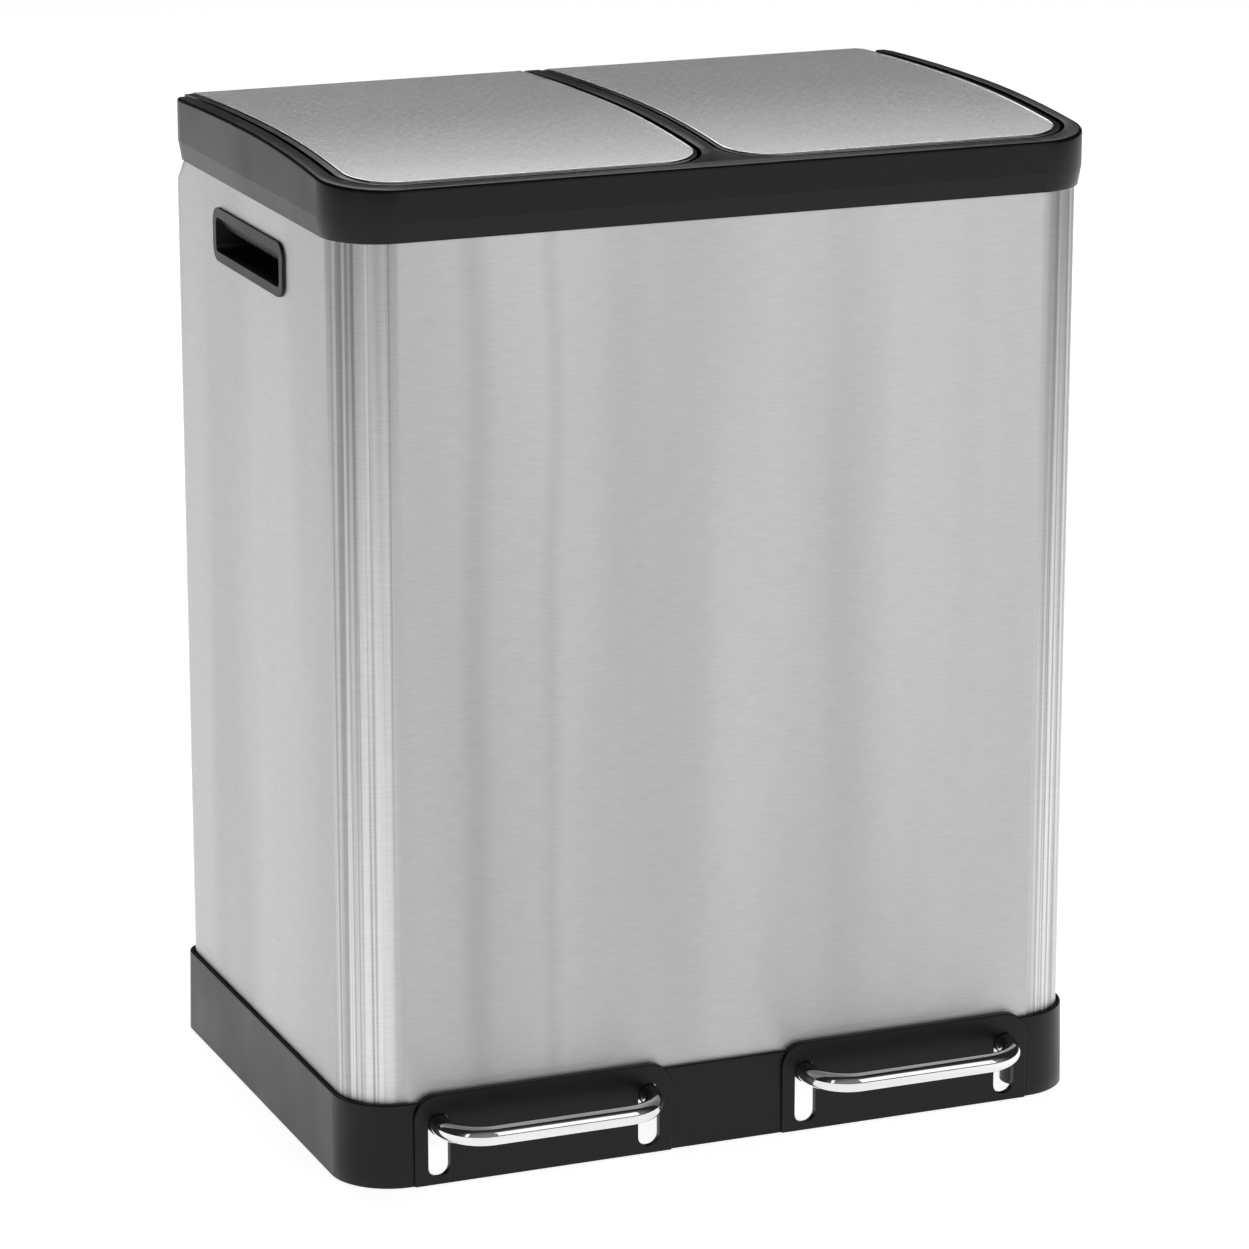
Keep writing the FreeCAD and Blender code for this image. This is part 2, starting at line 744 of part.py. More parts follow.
def bucket_mouth(side):
    """The opening that a bucket lifts out through."""
    radii = (mouth_radius, mouth_radius, well_rear_radius, well_rear_radius)
    mouth = slab(well_inner, mouth_outer, mouth_front, mouth_rear, radii, frame_bottom - 1, ledge_top + 1)
    return mouth if side > 0 else mirrored(mouth)


def rear_step():
    """What is taken off the top behind the side rims, down to the low rear wall."""
    start = rim_end - frame_rim_slope
    rear = frame_rear + 1
    low = ledge_top + frame_rear_rise
    points = [(start, above_all), (start, surface_z(start, frame_rim_drop)),
              (rim_end, surface_z(rim_end, frame_rim_drop) - frame_rim_slope),
              (rim_end, low), (rear, low), (rear, above_all)]
    return profile_along_x(points, -frame_half - 1, frame_half + 1)


def divider():
    """Bar between the lids, with the lids' own arched top and rolled rear end."""
    bar = lid_form(-well_inner, well_inner, well_front - 1, ledge_top - 1, frame_rim_drop)
    beam = box(-well_inner, well_inner, mouth_front - 1, mouth_rear + 1,
               frame_bottom + frame_skirt_short, ledge_top)
    return bar.cut(box(-well_inner, well_inner, well_front - 2, well_rear, 0, ledge_top - 1)).fuse(beam)


def ear_places():
    """Inner end of each hinge ear, measured from the middle of the bin."""
    return [well_inner + ear_inset, well_outer - ear_inset - ear_thickness]


def hinge_ear(x):
    """Upright ear on the rear ledge that carries a lid pin."""
    head = rod_along("x", ear_radius, (x, hinge_y, hinge_z), ear_thickness)
    stem = box(x, x + ear_thickness, hinge_y - ear_radius, hinge_y + ear_rear, ledge_top - 1, hinge_z)
    bore = rod_along("x", pin_diameter / 2 + pin_press, (x - 1, hinge_y, hinge_z), ear_thickness + 2)
    return head.fuse(stem).cut(bore)


def sheet_groove():
    """Groove under the frame that takes the upper edge of the sheet and of the panel."""
    low = frame_bottom - 1
    inner = -body_sheet - groove_clearance
    ring = body_outline(groove_clearance, low, body_top, body_top_radius).cut(
        body_outline(inner, low, body_top, body_top_radius))
    half = panel_top_half() + groove_clearance
    return ring.fuse(box(-half, half, panel_front - groove_clearance, body_rear, low, body_top))


def inside_frame():
    """The open space inside the frame's inner skirt."""
    inner = -body_sheet - groove_clearance - frame_inner_skirt
    space = body_outline(inner, frame_bottom - 1, body_top, body_top_radius)
    rear = panel_front - groove_clearance - frame_inner_skirt
    return space.common(box(-body_half, body_half, body_front, rear, frame_bottom - 1, body_top))


def top_frame():
    frame = frame_outside()
    short = body_outline(0.0, frame_bottom - 1, frame_bottom + frame_skirt_short, body_top_radius)
    cuts = [inside_frame(), short, rear_step()]
    for side in (-1, 1):
        cuts += [lid_well(side), bucket_mouth(side)]
    frame = cut_all(frame, cuts)
    parts = [frame, divider()]
    for side in (-1, 1):
        for x in ear_places():
            ear = hinge_ear(x)
            parts.append(ear if side > 0 else mirrored(ear))
    return joined(parts).cut(sheet_groove()).removeSplitter()


def cut_all(shape, tools):
    for tool in tools:
        shape = shape.cut(tool)
    return shape


# ---------------------------------------------------------------- lids
def tray_radii(inset):
    """Corner radii of a tray outline, shrunk by an inset."""
    front_inner = skin_front_radius + skin_divider_margin - inset
    front_outer = skin_front_radius + skin_front_margin - inset
    rear_outer = skin_rear_radius + skin_front_margin - inset
    rear_inner = skin_rear_radius + skin_divider_margin - inset
    return (front_inner, front_outer, rear_outer, rear_inner)


def lid_rear(drop):
    """Rear edge of a lid's plan outline, a little behind the rolled edge."""
    return hinge_y + roll_radius - drop + lid_trim


def lid_plan(x0, x1, y_start, y_end, radii):
    """Upright block on a lid's plan outline."""
    return slab(x0, x1, y_start, y_end, radii, lid_floor - roll_radius, above_all)


def tray_block(inset, drop, straight_below):
    """A tray's form at an inset from its outline, trimmed to the plan outline."""
    x0 = tray_inner + inset
    x1 = tray_outer - inset
    y0 = tray_front + inset
    low = lid_floor - inset
    form = lid_form(x0 - 1, x1 + 1, y0 - 1, low, drop, straight_below)
    return form.common(lid_plan(x0, x1, y0, lid_rear(drop), tray_radii(inset)))


def lid_tray(side):
    """Moulded tray: arched top, skirts all round, and knuckles for the pins."""
    outer = tray_block(0.0, lid_skin, False)
    inner = tray_block(lid_wall, lid_skin + lid_wall, True)
    passage = box(tray_inner + lid_wall + passage_gap, well_outer - ear_inset + pin_head + passage_gap,
                  hinge_y - ear_radius, lid_rear(0.0) + 1, lid_floor - roll_radius, hinge_z + roll_stop)
    parts = [outer.cut(inner).cut(passage)]
    first, second = ear_places()
    for x in (first + ear_thickness + knuckle_gap, second - knuckle_gap - knuckle_thickness):
        parts.append(knuckle(x))
    tray = joined(parts)
    return tray if side > 0 else mirrored(tray)


def knuckle(x):
    """Rib under the tray with the bore that turns on a pin."""
    x1 = x + knuckle_thickness
    rib = box(x, x1, hinge_y - knuckle_reach, hinge_y, hinge_z - ear_radius, crest_height)
    form = lid_form(x - 1, x1 + 1, hinge_y - knuckle_reach - 1, lid_floor - 5, lid_skin + lid_wall / 2)
    hub = rod_along("x", ear_radius, (x, hinge_y, hinge_z), knuckle_thickness)
    top = box(x, x1, hinge_y - knuckle_reach, hinge_y + ear_radius, hinge_z, crest_height)
    bore = rod_along("x", pin_diameter / 2 + pin_fit, (x - 1, hinge_y, hinge_z), knuckle_thickness + 2)
    return joined([rib.common(form), hub, top.common(form)]).cut(bore)


def lid_skin_sheet(side):
    """Brushed steel skin over the tray, rolled down at the back."""
    sheet = lid_form(skin_inner - 1, skin_outer + 1, skin_front - 1, lid_floor, 0.0).cut(
        lid_form(skin_inner - 2, skin_outer + 2, skin_front - 2, lid_floor - 1, lid_skin))
    below = box(skin_inner - 3, skin_outer + 3, crest_y, lid_rear(0.0) + 1, lid_floor - roll_radius,
                hinge_z + roll_stop)
    radii = (skin_front_radius, skin_front_radius, skin_rear_radius, skin_rear_radius)
    plan = lid_plan(skin_inner, skin_outer, skin_front, lid_rear(0.0), radii)
    sheet = sheet.cut(below).common(plan)
    return sheet if side > 0 else mirrored(sheet)


def lift_arm(side):
    """Arm under the lid with the round lug that the push rod lifts."""
    x0 = pedal_x - lug_thickness / 2
    x1 = pedal_x + lug_thickness / 2
    front = lug_y - lug_plate_front
    rear = lug_y + lug_plate_rear
    drop = lid_skin + lid_wall
    under = under_surface(pedal_x - lug_plate_half - 1, pedal_x + lug_plate_half + 1, front - 1, rear + 1,
                          lid_floor - roll_radius, drop)
    plate_low = under_surface(pedal_x - lug_plate_half - 1, pedal_x + lug_plate_half + 1, front - 1,
                              rear + 1, lid_floor - roll_radius, drop + lug_plate)
    lug = rod_along("x", lug_radius, (x0, lug_y, lug_z), lug_thickness)
    web = profile_along_x([(lug_y - lug_radius, lug_z), (lug_y + lug_radius, lug_z),
                           (rear - lug_radius, crest_height), (front + lug_radius, crest_height),
                           (front + lug_radius, hinge_z)], x0, x1)
    plate = box(pedal_x - lug_plate_half, pedal_x + lug_plate_half, front, rear, hinge_z, crest_height)
    arm = joined([lug, web.common(under), plate.common(under).cut(plate_low)])
    return arm if side > 0 else mirrored(arm)


def hinge_pins(side):
    """Two headed pins, each through an ear of the frame and a knuckle of the tray."""
    first, second = ear_places()
    reach = ear_thickness + knuckle_gap + knuckle_thickness + pin_end
    last = second + ear_thickness
    pins = []
    for start, head_start in ((first, first - pin_head), (last - reach, last)):
        pin = rod_along("x", pin_diameter / 2, (start, hinge_y, hinge_z), reach)
        head = rod_along("x", pin_head_diameter / 2, (head_start, hinge_y, hinge_z), pin_head)
        pins.append(pin.fuse(head))
    group = Part.makeCompound(pins)
    return group if side > 0 else mirrored(group)


def lid_bumpers():
    """Rubber buttons on the front ledge that the lids close onto."""
    height = lid_floor - bumper_gap - ledge_top
    y = (well_front + mouth_front) / 2
    buttons = []
    for side in (-1, 1):
        for x in (tray_inner + bumper_inset, tray_outer - bumper_inset):
            buttons.append(rod_along("z", bumper_diameter / 2, (side * x, y, ledge_top), height))
    return Part.makeCompound(buttons)


# ---------------------------------------------------------------- buckets and bails
def bucket_solid(inset, z_low, z_high):
    """Tapered block on the bucket's outline."""
    def ring(drawn_in, z):
        r = bucket_radius - inset
        d = inset + drawn_in
        return rounded_wire(bucket_inner + d, bucket_outer - d, bucket_front + d, bucket_rear - d,
                            (r, r, r, r), z)
    slope = bucket_draft / (bucket_top - deck_top)
    return Part.makeLoft([ring(slope * (bucket_top - z_low), z_low), ring(slope * (bucket_top - z_high), z_high)],
                         True, True)


def bucket(side):
    """Plain tapered bucket with a turned-out lip and two ears for its bail."""
    shell = bucket_solid(0.0, deck_top, bucket_top).cut(
        bucket_solid(bucket_wall, deck_top + bucket_floor, bucket_top + 1))
    r = bucket_radius + bucket_lip
    lip = slab(bucket_inner - bucket_lip, bucket_outer + bucket_lip, bucket_front - bucket_lip,
               bucket_rear + bucket_lip, (r, r, r, r), bucket_top - bucket_lip_thickness, bucket_top)
    lip = lip.cut(bucket_solid(bucket_wall, bucket_top - 20, bucket_top + 1))
    parts = [shell, lip]
    bores = []
    for x in (bucket_inner - bucket_lip, bucket_outer + bucket_lip - bail_ear_thickness):
        head = rod_along("x", bail_ear_radius, (x, bail_pivot_y, bail_z), bail_ear_thickness)
        stem = box(x, x + bail_ear_thickness, bail_pivot_y - bail_ear_radius, bail_pivot_y + bail_ear_radius,
                   bucket_top - bucket_lip_thickness, bail_z)
        bore = rod_along("x", bail_wire / 2 + pin_fit, (x - 1, bail_pivot_y, bail_z), bail_ear_thickness + 2)
        bores.append(bore)
        parts.append(head.fuse(stem))
    body = cut_all(joined(parts), bores)
    return body if side > 0 else mirrored(body)


def bail_path(x_in, x_out, y_front):
    """Centre line of a bail: out through one ear, round the front, into the other ear."""
    e = bail_end_bend
    b = bail_bend
    k = 1 - math.sqrt(0.5)
    z = bail_z
    y = bail_pivot_y
    x_start = bucket_inner - bucket_lip
    x_stop = bucket_outer + bucket_lip
    points = [V(x_start, y, z), V(x_in - e, y, z), V(x_in, y - e, z), V(x_in, y_front + b, z),
              V(x_in + b, y_front, z), V(x_out - b, y_front, z), V(x_out, y_front + b, z),
              V(x_out, y - e, z), V(x_out + e, y, z), V(x_stop, y, z)]
    mids = {1: V(x_in - e * k, y - e * k, z), 3: V(x_in + b * k, y_front + b * k, z),
            5: V(x_out - b * k, y_front + b * k, z), 7: V(x_out + e * k, y - e * k, z)}
    edges = []
    for i in range(len(points) - 1):
        if i in mids:
            edges.append(Part.Arc(points[i], mids[i], points[i + 1]).toShape())
        else:
            edges.append(Part.LineSegment(points[i], points[i + 1]).toShape())
    return Part.Wire(edges)


def bail_front():
    return bucket_front + bail_front_inset


def bail_sides():
    """Distance from the middle of the bin to the bail's two arms."""
    return bucket_inner + bail_side, bucket_outer - bail_side


def bail(side):
    """Bent wire bail, folded down on the bucket's lip."""
    x_in, x_out = bail_sides()
    path = bail_path(x_in, x_out, bail_front())
    wire = swept(path, bail_wire / 2, (bucket_inner - bucket_lip, bail_pivot_y, bail_z), (1, 0, 0))
    return wire if side > 0 else mirrored(wire)


def bail_grip(side):
    """Moulded sleeve on the middle of a bail."""
    middle = (bucket_inner + bucket_outer) / 2
    start = (middle - grip_length / 2, bail_front(), bail_z)
    sleeve = rod_along("x", bail_wire / 2 + grip_wall, start, grip_length)
    ends = [e for e in sleeve.Edges if e.BoundBox.YLength > 1 and e.BoundBox.XLength < 0.1]
    sleeve = sleeve.makeFillet(grip_wall / 2, ends)
    sleeve = sleeve.cut(rod_along("x", bail_wire / 2, (start[0] - 1, start[1], start[2]), grip_length + 2))
    return sleeve if side > 0 else mirrored(sleeve)


# ---------------------------------------------------------------- pedals and levers
def pedal_bar(side):
    """Chrome U-shaped foot bar; its two legs run back through the slots."""
    half = pedal_leg_spacing / 2
    b = pedal_bend
    k = 1 - math.sqrt(0.5)
    z = pedal_leg_height
    x0 = side * pedal_x - half
    x1 = side * pedal_x + half
    y0 = pedal_bar_y
    edges = [
        Part.LineSegment(V(x0, pedal_leg_end, z), V(x0, y0 + b, z)),
        Part.Arc(V(x0, y0 + b, z), V(x0 + b * k, y0 + b * k, z), V(x0 + b, y0, z)),
        Part.LineSegment(V(x0 + b, y0, z), V(x1 - b, y0, z)),
        Part.Arc(V(x1 - b, y0, z), V(x1 - b * k, y0 + b * k, z), V(x1, y0 + b, z)),
        Part.LineSegment(V(x1, y0 + b, z), V(x1, pedal_leg_end, z)),
    ]
    path = Part.Wire([e.toShape() for e in edges])
    return swept(path, pedal_bar_diameter / 2, (x0, pedal_leg_end, z), (0, -1, 0))


def cross_plate_top():
    return pedal_leg_height - pedal_bar_diameter / 2


def cross_plate(side):
    """Flat plate welded across under the two legs."""
    half = pedal_leg_spacing / 2 + cross_plate_overhang
    x = side * pedal_x
    top = cross_plate_top()
    return box(x - half, x + half, pedal_leg_end - cross_plate_depth, pedal_leg_end,
               top - cross_plate_thickness, top)


def lever_plates(side):
    """Pair of upright plates from the cross plate over the axle to the lift pin."""
    top = cross_plate_top() - cross_plate_thickness
    front = pedal_leg_end - cross_plate_depth
    hub = lever_depth
    end = lever_end_radius
    points = [(front, top), (pedal_leg_end, top), (axle_y, axle_z + hub), (rod_y, lift_pin_z + end),
              (rod_y, lift_pin_z - end), (axle_y, axle_z - hub), (pedal_leg_end, top - lever_depth),
              (front, top - lever_nose)]
    plates = []
    for way in (-1, 1):
        x0 = side * pedal_x + way * (lever_gap + lever_plate) / 2 - lever_plate / 2
        plate = profile_along_x(points, x0, x0 + lever_plate)
        plate = plate.fuse(rod_along("x", end, (x0, rod_y, lift_pin_z), lever_plate))
        plate = plate.cut(rod_along("x", axle_diameter / 2 + axle_clearance, (x0 - 1, axle_y, axle_z),
                                    lever_plate + 2))
        plate = plate.cut(rod_along("x", lift_pin_diameter / 2, (x0 - 1, rod_y, lift_pin_z), lever_plate + 2))
        plates.append(plate.removeSplitter())
    return Part.makeCompound(plates)


def lever_hub(side):
    """Tube between the two plates that turns on the axle."""
    x0 = side * pedal_x - lever_gap / 2
    hub = rod_along("x", hub_diameter / 2, (x0, axle_y, axle_z), lever_gap)
    return hub.cut(rod_along("x", axle_diameter / 2 + axle_clearance, (x0 - 1, axle_y, axle_z), lever_gap + 2))


def lift_pin(side):
    """Pin across the rear end of the lever, under the push rod."""
    width = lever_gap + 2 * lever_plate
    return rod_along("x", lift_pin_diameter / 2, (side * pedal_x - width / 2, rod_y, lift_pin_z), width)


def bracket_inner_half():
    return lever_gap / 2 + lever_plate + bracket_side_gap


def axle_bracket(side):
    """Folded channel under the deck that carries an axle."""
    half = bracket_inner_half()
    x = side * pedal_x
    d = bracket_half_depth
    low = axle_z - bracket_drop
    web = box(x - half - bracket_sheet, x + half + bracket_sheet, axle_y - d, axle_y + d,
              deck_under - bracket_sheet, deck_under)
    parts = [web]
    for way in (-1, 1):
        x0 = x + way * (half + bracket_sheet / 2) - bracket_sheet / 2
        parts.append(profile_along_x([(axle_y - d, deck_under), (axle_y + d, deck_under),
                                      (axle_y + bracket_drop, low), (axle_y - bracket_drop, low)],
                                     x0, x0 + bracket_sheet))
    bracket = joined(parts)
    bracket = bracket.cut(rod_along("x", axle_diameter / 2 + pin_press,
                                    (x - half - 10, axle_y, axle_z), 2 * half + 20))
    for dx, dy in bracket_screw_places():
        bracket = bracket.cut(rod_along("z", screw_diameter / 2, (x + dx, axle_y + dy, deck_under - 10), 20))
    return bracket


def axle_half():
    return bracket_inner_half() + bracket_sheet + axle_overhang


def axle(side):
    """Round axle through the bracket and the lever."""
    return rod_along("x", axle_diameter / 2, (side * pedal_x - axle_half(), axle_y, axle_z), 2 * axle_half())


def axle_clips():
    """Retaining rings on both ends of both axles."""
    rings = []
    for side in (-1, 1):
        for way in (-1, 1):
            face = bracket_inner_half() + bracket_sheet
            x0 = side * pedal_x + way * (face + clip_thickness / 2) - clip_thickness / 2
            outer = axle_diameter / 2 + clip_wall
            half = clip_mouth / 2
            ring = rod_along("x", outer, (x0, axle_y, axle_z), clip_thickness)
            ring = ring.cut(rod_along("x", axle_diameter / 2, (x0 - 1, axle_y, axle_z), clip_thickness + 2))
            ring = ring.cut(box(x0 - 1, x0 + clip_thickness + 1, axle_y - half, axle_y + half,
                                axle_z - 2 * outer, axle_z))
            rings.append(ring)
    return Part.makeCompound(rings)


def bracket_screws():
    """Pan-head screws from below, through each bracket into the deck."""
    screws = []
    for side in (-1, 1):
        for dx, dy in bracket_screw_places():
            x = side * pedal_x + dx
            y = axle_y + dy
            z = deck_under - bracket_sheet
            head = rod_along("z", screw_head_diameter / 2, (x, y, z - screw_head), screw_head)
            rim = [e for e in head.Edges if abs(e.BoundBox.ZMax - z + screw_head) < 0.01
                   and e.BoundBox.XLength > 1]
            head = head.makeFillet(screw_head * 0.5, rim)
            shank = rod_along("z", screw_diameter / 2, (x, y, z), bracket_sheet + deck_thickness - screw_tip)
            screws.append(head.fuse(shank).removeSplitter())
    return Part.makeCompound(screws)


# ---------------------------------------------------------------- push rods
def push_rod(side):
    """Steel rod from the lever up to the lid."""
    top = rod_top - cap_cover
    return rod_along("z", rod_diameter / 2, (side * pedal_x, rod_y, rod_bottom), top - rod_bottom)


def rod_cap(side):
    """Plastic cap on the rod, on which the lug slides."""
    x = side * pedal_x
    cap = rod_along("z", cap_diameter / 2, (x, rod_y, rod_top - cap_height), cap_height)
    return cap.cut(rod_along("z", rod_diameter / 2, (x, rod_y, rod_top - cap_height - 1),
                             cap_height + 1 - cap_cover))


def bush_radius():
    return rod_diameter / 2 + rod_guide_clearance + bush_wall


def rod_bushes():
    """Flanged bushes in the deck that guide the rods."""
    bushes = []
    for side in (-1, 1):
        x = side * pedal_x
        low = deck_under - bush_tail
        body = rod_along("z", bush_radius(), (x, rod_y, low), deck_top - low)
        flange = rod_along("z", bush_radius() + bush_flange_wall, (x, rod_y, deck_top), bush_flange)
        bore = rod_along("z", rod_diameter / 2 + rod_guide_clearance, (x, rod_y, low - 1),
                         deck_top + bush_flange - low + 2)
        bushes.append(body.fuse(flange).cut(bore).removeSplitter())
    return Part.makeCompound(bushes)


def rod_guide(side):
    """Angle on the rear panel with a hole that keeps the rod upright."""
    x = side * pedal_x
    back = panel_front
    plate = box(x - guide_width / 2, x + guide_width / 2, back - guide_sheet, back,
                guide_height, guide_height + guide_tall)
    nose = rod_y - rod_diameter / 2 - guide_nose
    half = guide_width / 4
    r = guide_corner
    shelf = slab(x - half, x + half, nose, back - guide_sheet / 2, (r, r, guide_sheet / 4, guide_sheet / 4),
                 guide_height, guide_height + guide_sheet)
    guide = plate.fuse(shelf)
    guide = guide.cut(rod_along("z", rod_diameter / 2 + rod_guide_clearance, (x, rod_y, guide_height - 1),
                                guide_sheet + 2))
    for px, pz in guide_rivet_places():
        guide = guide.cut(rod_along("y", rivet_diameter / 2, (px, back - guide_sheet - 1, pz), guide_sheet + 2))
    return guide.removeSplitter()


def guide_rivets():
    inside = panel_front - guide_sheet
    return Part.makeCompound([rivet(x, z, inside, panel_front + body_sheet) for x, z in guide_rivet_places()])


# ---------------------------------------------------------------- all pieces
def all_pieces():
    pieces = {
        "base_moulding": base_moulding(),
        "body_wrap": body_wrap(),
        "rear_panel": rear_panel(),
        "panel_rivets": panel_rivets(),
        "top_frame": top_frame(),
        "lid_bumpers": lid_bumpers(),
        "axle_clips": axle_clips(),
        "bracket_screws": bracket_screws(),
        "rod_bushes": rod_bushes(),
        "guide_rivets": guide_rivets(),
    }
    for (x, y), name in zip(foot_places(), ("front_left_foot", "rear_left_foot",
                                            "front_right_foot", "rear_right_foot")):
        pieces[name] = foot(x, y)
    for side, name in ((-1, "left"), (1, "right")):
        pieces[name + "_handle_cup"] = handle_cup(side)
        pieces[name + "_bucket"] = bucket(side)
        pieces[name + "_bail"] = bail(side)
        pieces[name + "_bail_grip"] = bail_grip(side)
        pieces[name + "_lid_tray"] = lid_tray(side)
        pieces[name + "_lid_skin"] = lid_skin_sheet(side)
        pieces[name + "_lift_arm"] = lift_arm(side)
        pieces[name + "_hinge_pins"] = hinge_pins(side)
        pieces[name + "_pedal_bar"] = pedal_bar(side)
        pieces[name + "_cross_plate"] = cross_plate(side)
        pieces[name + "_lever_plates"] = lever_plates(side)
        pieces[name + "_lever_hub"] = lever_hub(side)
        pieces[name + "_lift_pin"] = lift_pin(side)
        pieces[name + "_axle"] = axle(side)
        pieces[name + "_axle_bracket"] = axle_bracket(side)
        pieces[name + "_push_rod"] = push_rod(side)
        pieces[name + "_rod_cap"] = rod_cap(side)
        pieces[name + "_rod_guide"] = rod_guide(side)
    return pieces


os.makedirs("parts", exist_ok=True)
for name, shape in all_pieces().items():
    place(shape).exportStep("parts/" + name + ".step")
    print(name, len(shape.Solids), shape.isValid(), round(shape.Volume))
print("joints", "hinge", round(hinge_y + shift_y, 4), round(hinge_z + foot_stand, 4),
      "axle", round(axle_y + shift_y, 4), round(axle_z + foot_stand, 4),
      "pedal angle", round(pedal_angle, 4), "rod lift", round(rod_lift, 4),
      "bail", round(bail_pivot_y + shift_y, 4), round(bail_z + foot_stand, 4))
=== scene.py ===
# %% [markdown]
# # A double recycling bin
# The bin's pieces come as a frame of solids from the construction model. This
# notebook gives them their real finishes, adds the small pieces that only show
# close up, and lights them like a catalogue photograph. Everything is in
# metres, X to the right, Y from the pedals to the back, Z up from the floor.

# %% open the frame
import json
import math

import bmesh
import bpy
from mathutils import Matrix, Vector


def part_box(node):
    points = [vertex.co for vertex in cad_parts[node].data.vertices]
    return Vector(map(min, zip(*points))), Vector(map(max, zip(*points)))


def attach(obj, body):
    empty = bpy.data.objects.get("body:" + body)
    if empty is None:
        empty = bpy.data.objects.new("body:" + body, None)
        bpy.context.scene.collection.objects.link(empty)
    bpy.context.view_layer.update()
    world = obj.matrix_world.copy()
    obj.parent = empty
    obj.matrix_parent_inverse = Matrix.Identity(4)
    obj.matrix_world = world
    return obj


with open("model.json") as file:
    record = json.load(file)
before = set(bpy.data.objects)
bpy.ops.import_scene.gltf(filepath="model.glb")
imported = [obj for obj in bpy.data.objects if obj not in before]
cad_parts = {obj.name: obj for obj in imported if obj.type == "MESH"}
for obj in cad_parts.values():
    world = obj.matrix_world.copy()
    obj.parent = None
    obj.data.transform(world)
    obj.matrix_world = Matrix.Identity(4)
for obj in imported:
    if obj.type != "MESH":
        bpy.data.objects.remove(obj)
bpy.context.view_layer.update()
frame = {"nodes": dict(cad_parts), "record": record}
nodes = frame["nodes"]

# %% [markdown]
# ## Small helpers for node trees
# A finish is a node tree. Writing it by hand takes many lines, so one helper
# adds a node with its settings, and another joins two sockets. Two more give
# the place on the piece, in metres, and split a vector into X, Y and Z.

# %% helpers for nodes
def add_node(tree, kind, **settings):
    """Adds a node; settings are its properties, or inputs by name."""
    node = tree.nodes.new(kind)
    for key, value in settings.items():
        if hasattr(node, key):
            setattr(node, key, value)
        else:
            node.inputs[key.replace("_", " ")].default_value = value
    return node


def join(tree, output, target):
    tree.links.new(output, target)


def own_place(tree):
    """The place on the piece in its own axes, which move with it."""
    return add_node(tree, "ShaderNodeTexCoord").outputs["Object"]


def split_axes(tree, vector):
    """The X, Y and Z of a vector, as named sockets."""
    parts = add_node(tree, "ShaderNodeSeparateXYZ")
    join(tree, vector, parts.inputs[0])
    return parts.outputs


def new_group(name, inputs, outputs):
    """A node group with float, vector or colour sockets, and its two end nodes."""
    group = bpy.data.node_groups.new(name, "ShaderNodeTree")
    for label, kind, value in inputs:
        socket = group.interface.new_socket(label, in_out="INPUT", socket_type=kind)
        socket.default_value = value
    for label, kind in outputs:
        group.interface.new_socket(label, in_out="OUTPUT", socket_type=kind)
    return group, group.nodes.new("NodeGroupInput"), group.nodes.new("NodeGroupOutput")


def use_group(tree, group, **values):
    """Adds a node that runs a group, with values for its inputs by name."""
    node = tree.nodes.new("ShaderNodeGroup")
    node.node_tree = group
    for key, value in values.items():
        node.inputs[key.replace("_", " ")].default_value = value
    return node


def math_node(tree, operation, a, b):
    """Maths on two sockets or numbers; returns the output socket."""
    node = add_node(tree, "ShaderNodeMath", operation=operation)
    for i, value in enumerate((a, b)):
        if isinstance(value, (int, float)):
            node.inputs[i].default_value = value
        else:
            join(tree, value, node.inputs[i])
    return node.outputs[0]


def ramp(tree, value, low, high, start, stop):
    """A value mapped smoothly from low..high onto start..stop."""
    node = add_node(tree, "ShaderNodeMapRange", interpolation_type="SMOOTHSTEP", clamp=True)
    for label, number in (("From Min", low), ("From Max", high), ("To Min", start), ("To Max", stop)):
        node.inputs[label].default_value = number
    join(tree, value, node.inputs["Value"])
    return node.outputs[0]


def grey(value):
    return (value, value, value, 1.0)


print("helpers ready: add_node, join, own_place, split_axes, groups, math_node, ramp, grey")

# %% [markdown]
# ## Brushed grain as a node group
# Brushed steel is scratched in one direction. Noise that is squeezed across the
# grain and stretched along it gives such scratches. The group takes how many
# waves there are per metre along X, Y and Z, so the same group serves the body,
# whose grain runs round it, and the lids, whose grain runs from side to side.

# %% the brushed grain group
FLOAT, VECTOR = "NodeSocketFloat", "NodeSocketVector"
DASH_SHARE = 0.45         # waves in the coarse dashes, for each wave in the fine scratches


def stretched_noise(tree, place, waves, detail=2.0, roughness=0.5):
    """Noise with its own number of waves per metre along each axis."""
    scaled = add_node(tree, "ShaderNodeVectorMath", operation="MULTIPLY")
    join(tree, place, scaled.inputs[0])
    if isinstance(waves, tuple):
        scaled.inputs[1].default_value = waves
    else:
        join(tree, waves, scaled.inputs[1])
    noise = add_node(tree, "ShaderNodeTexNoise", Scale=1.0, Detail=detail, Roughness=roughness)
    join(tree, scaled.outputs[0], noise.inputs["Vector"])
    return noise.outputs["Fac"]


def make_grain_group():
    group, start, end = new_group(
        "brushed grain",
        [("Waves", VECTOR, (60, 60, 1500)), ("Patch Waves", VECTOR, (9, 9, 1.2))],
        [("Scratch", FLOAT), ("Dash", FLOAT), ("Patch", FLOAT)])
    place = own_place(group)
    fine = stretched_noise(group, place, start.outputs["Waves"], 3.0, 0.6)
    coarse = add_node(group, "ShaderNodeVectorMath", operation="MULTIPLY")
    join(group, start.outputs["Waves"], coarse.inputs[0])
    coarse.inputs[1].default_value = (DASH_SHARE, DASH_SHARE, DASH_SHARE)
    dash = stretched_noise(group, place, coarse.outputs[0], 2.0, 0.6)
    patch = stretched_noise(group, place, start.outputs["Patch Waves"], 2.0, 0.5)
    join(group, fine, end.inputs["Scratch"])
    join(group, dash, end.inputs["Dash"])
    join(group, patch, end.inputs["Patch"])
    return group


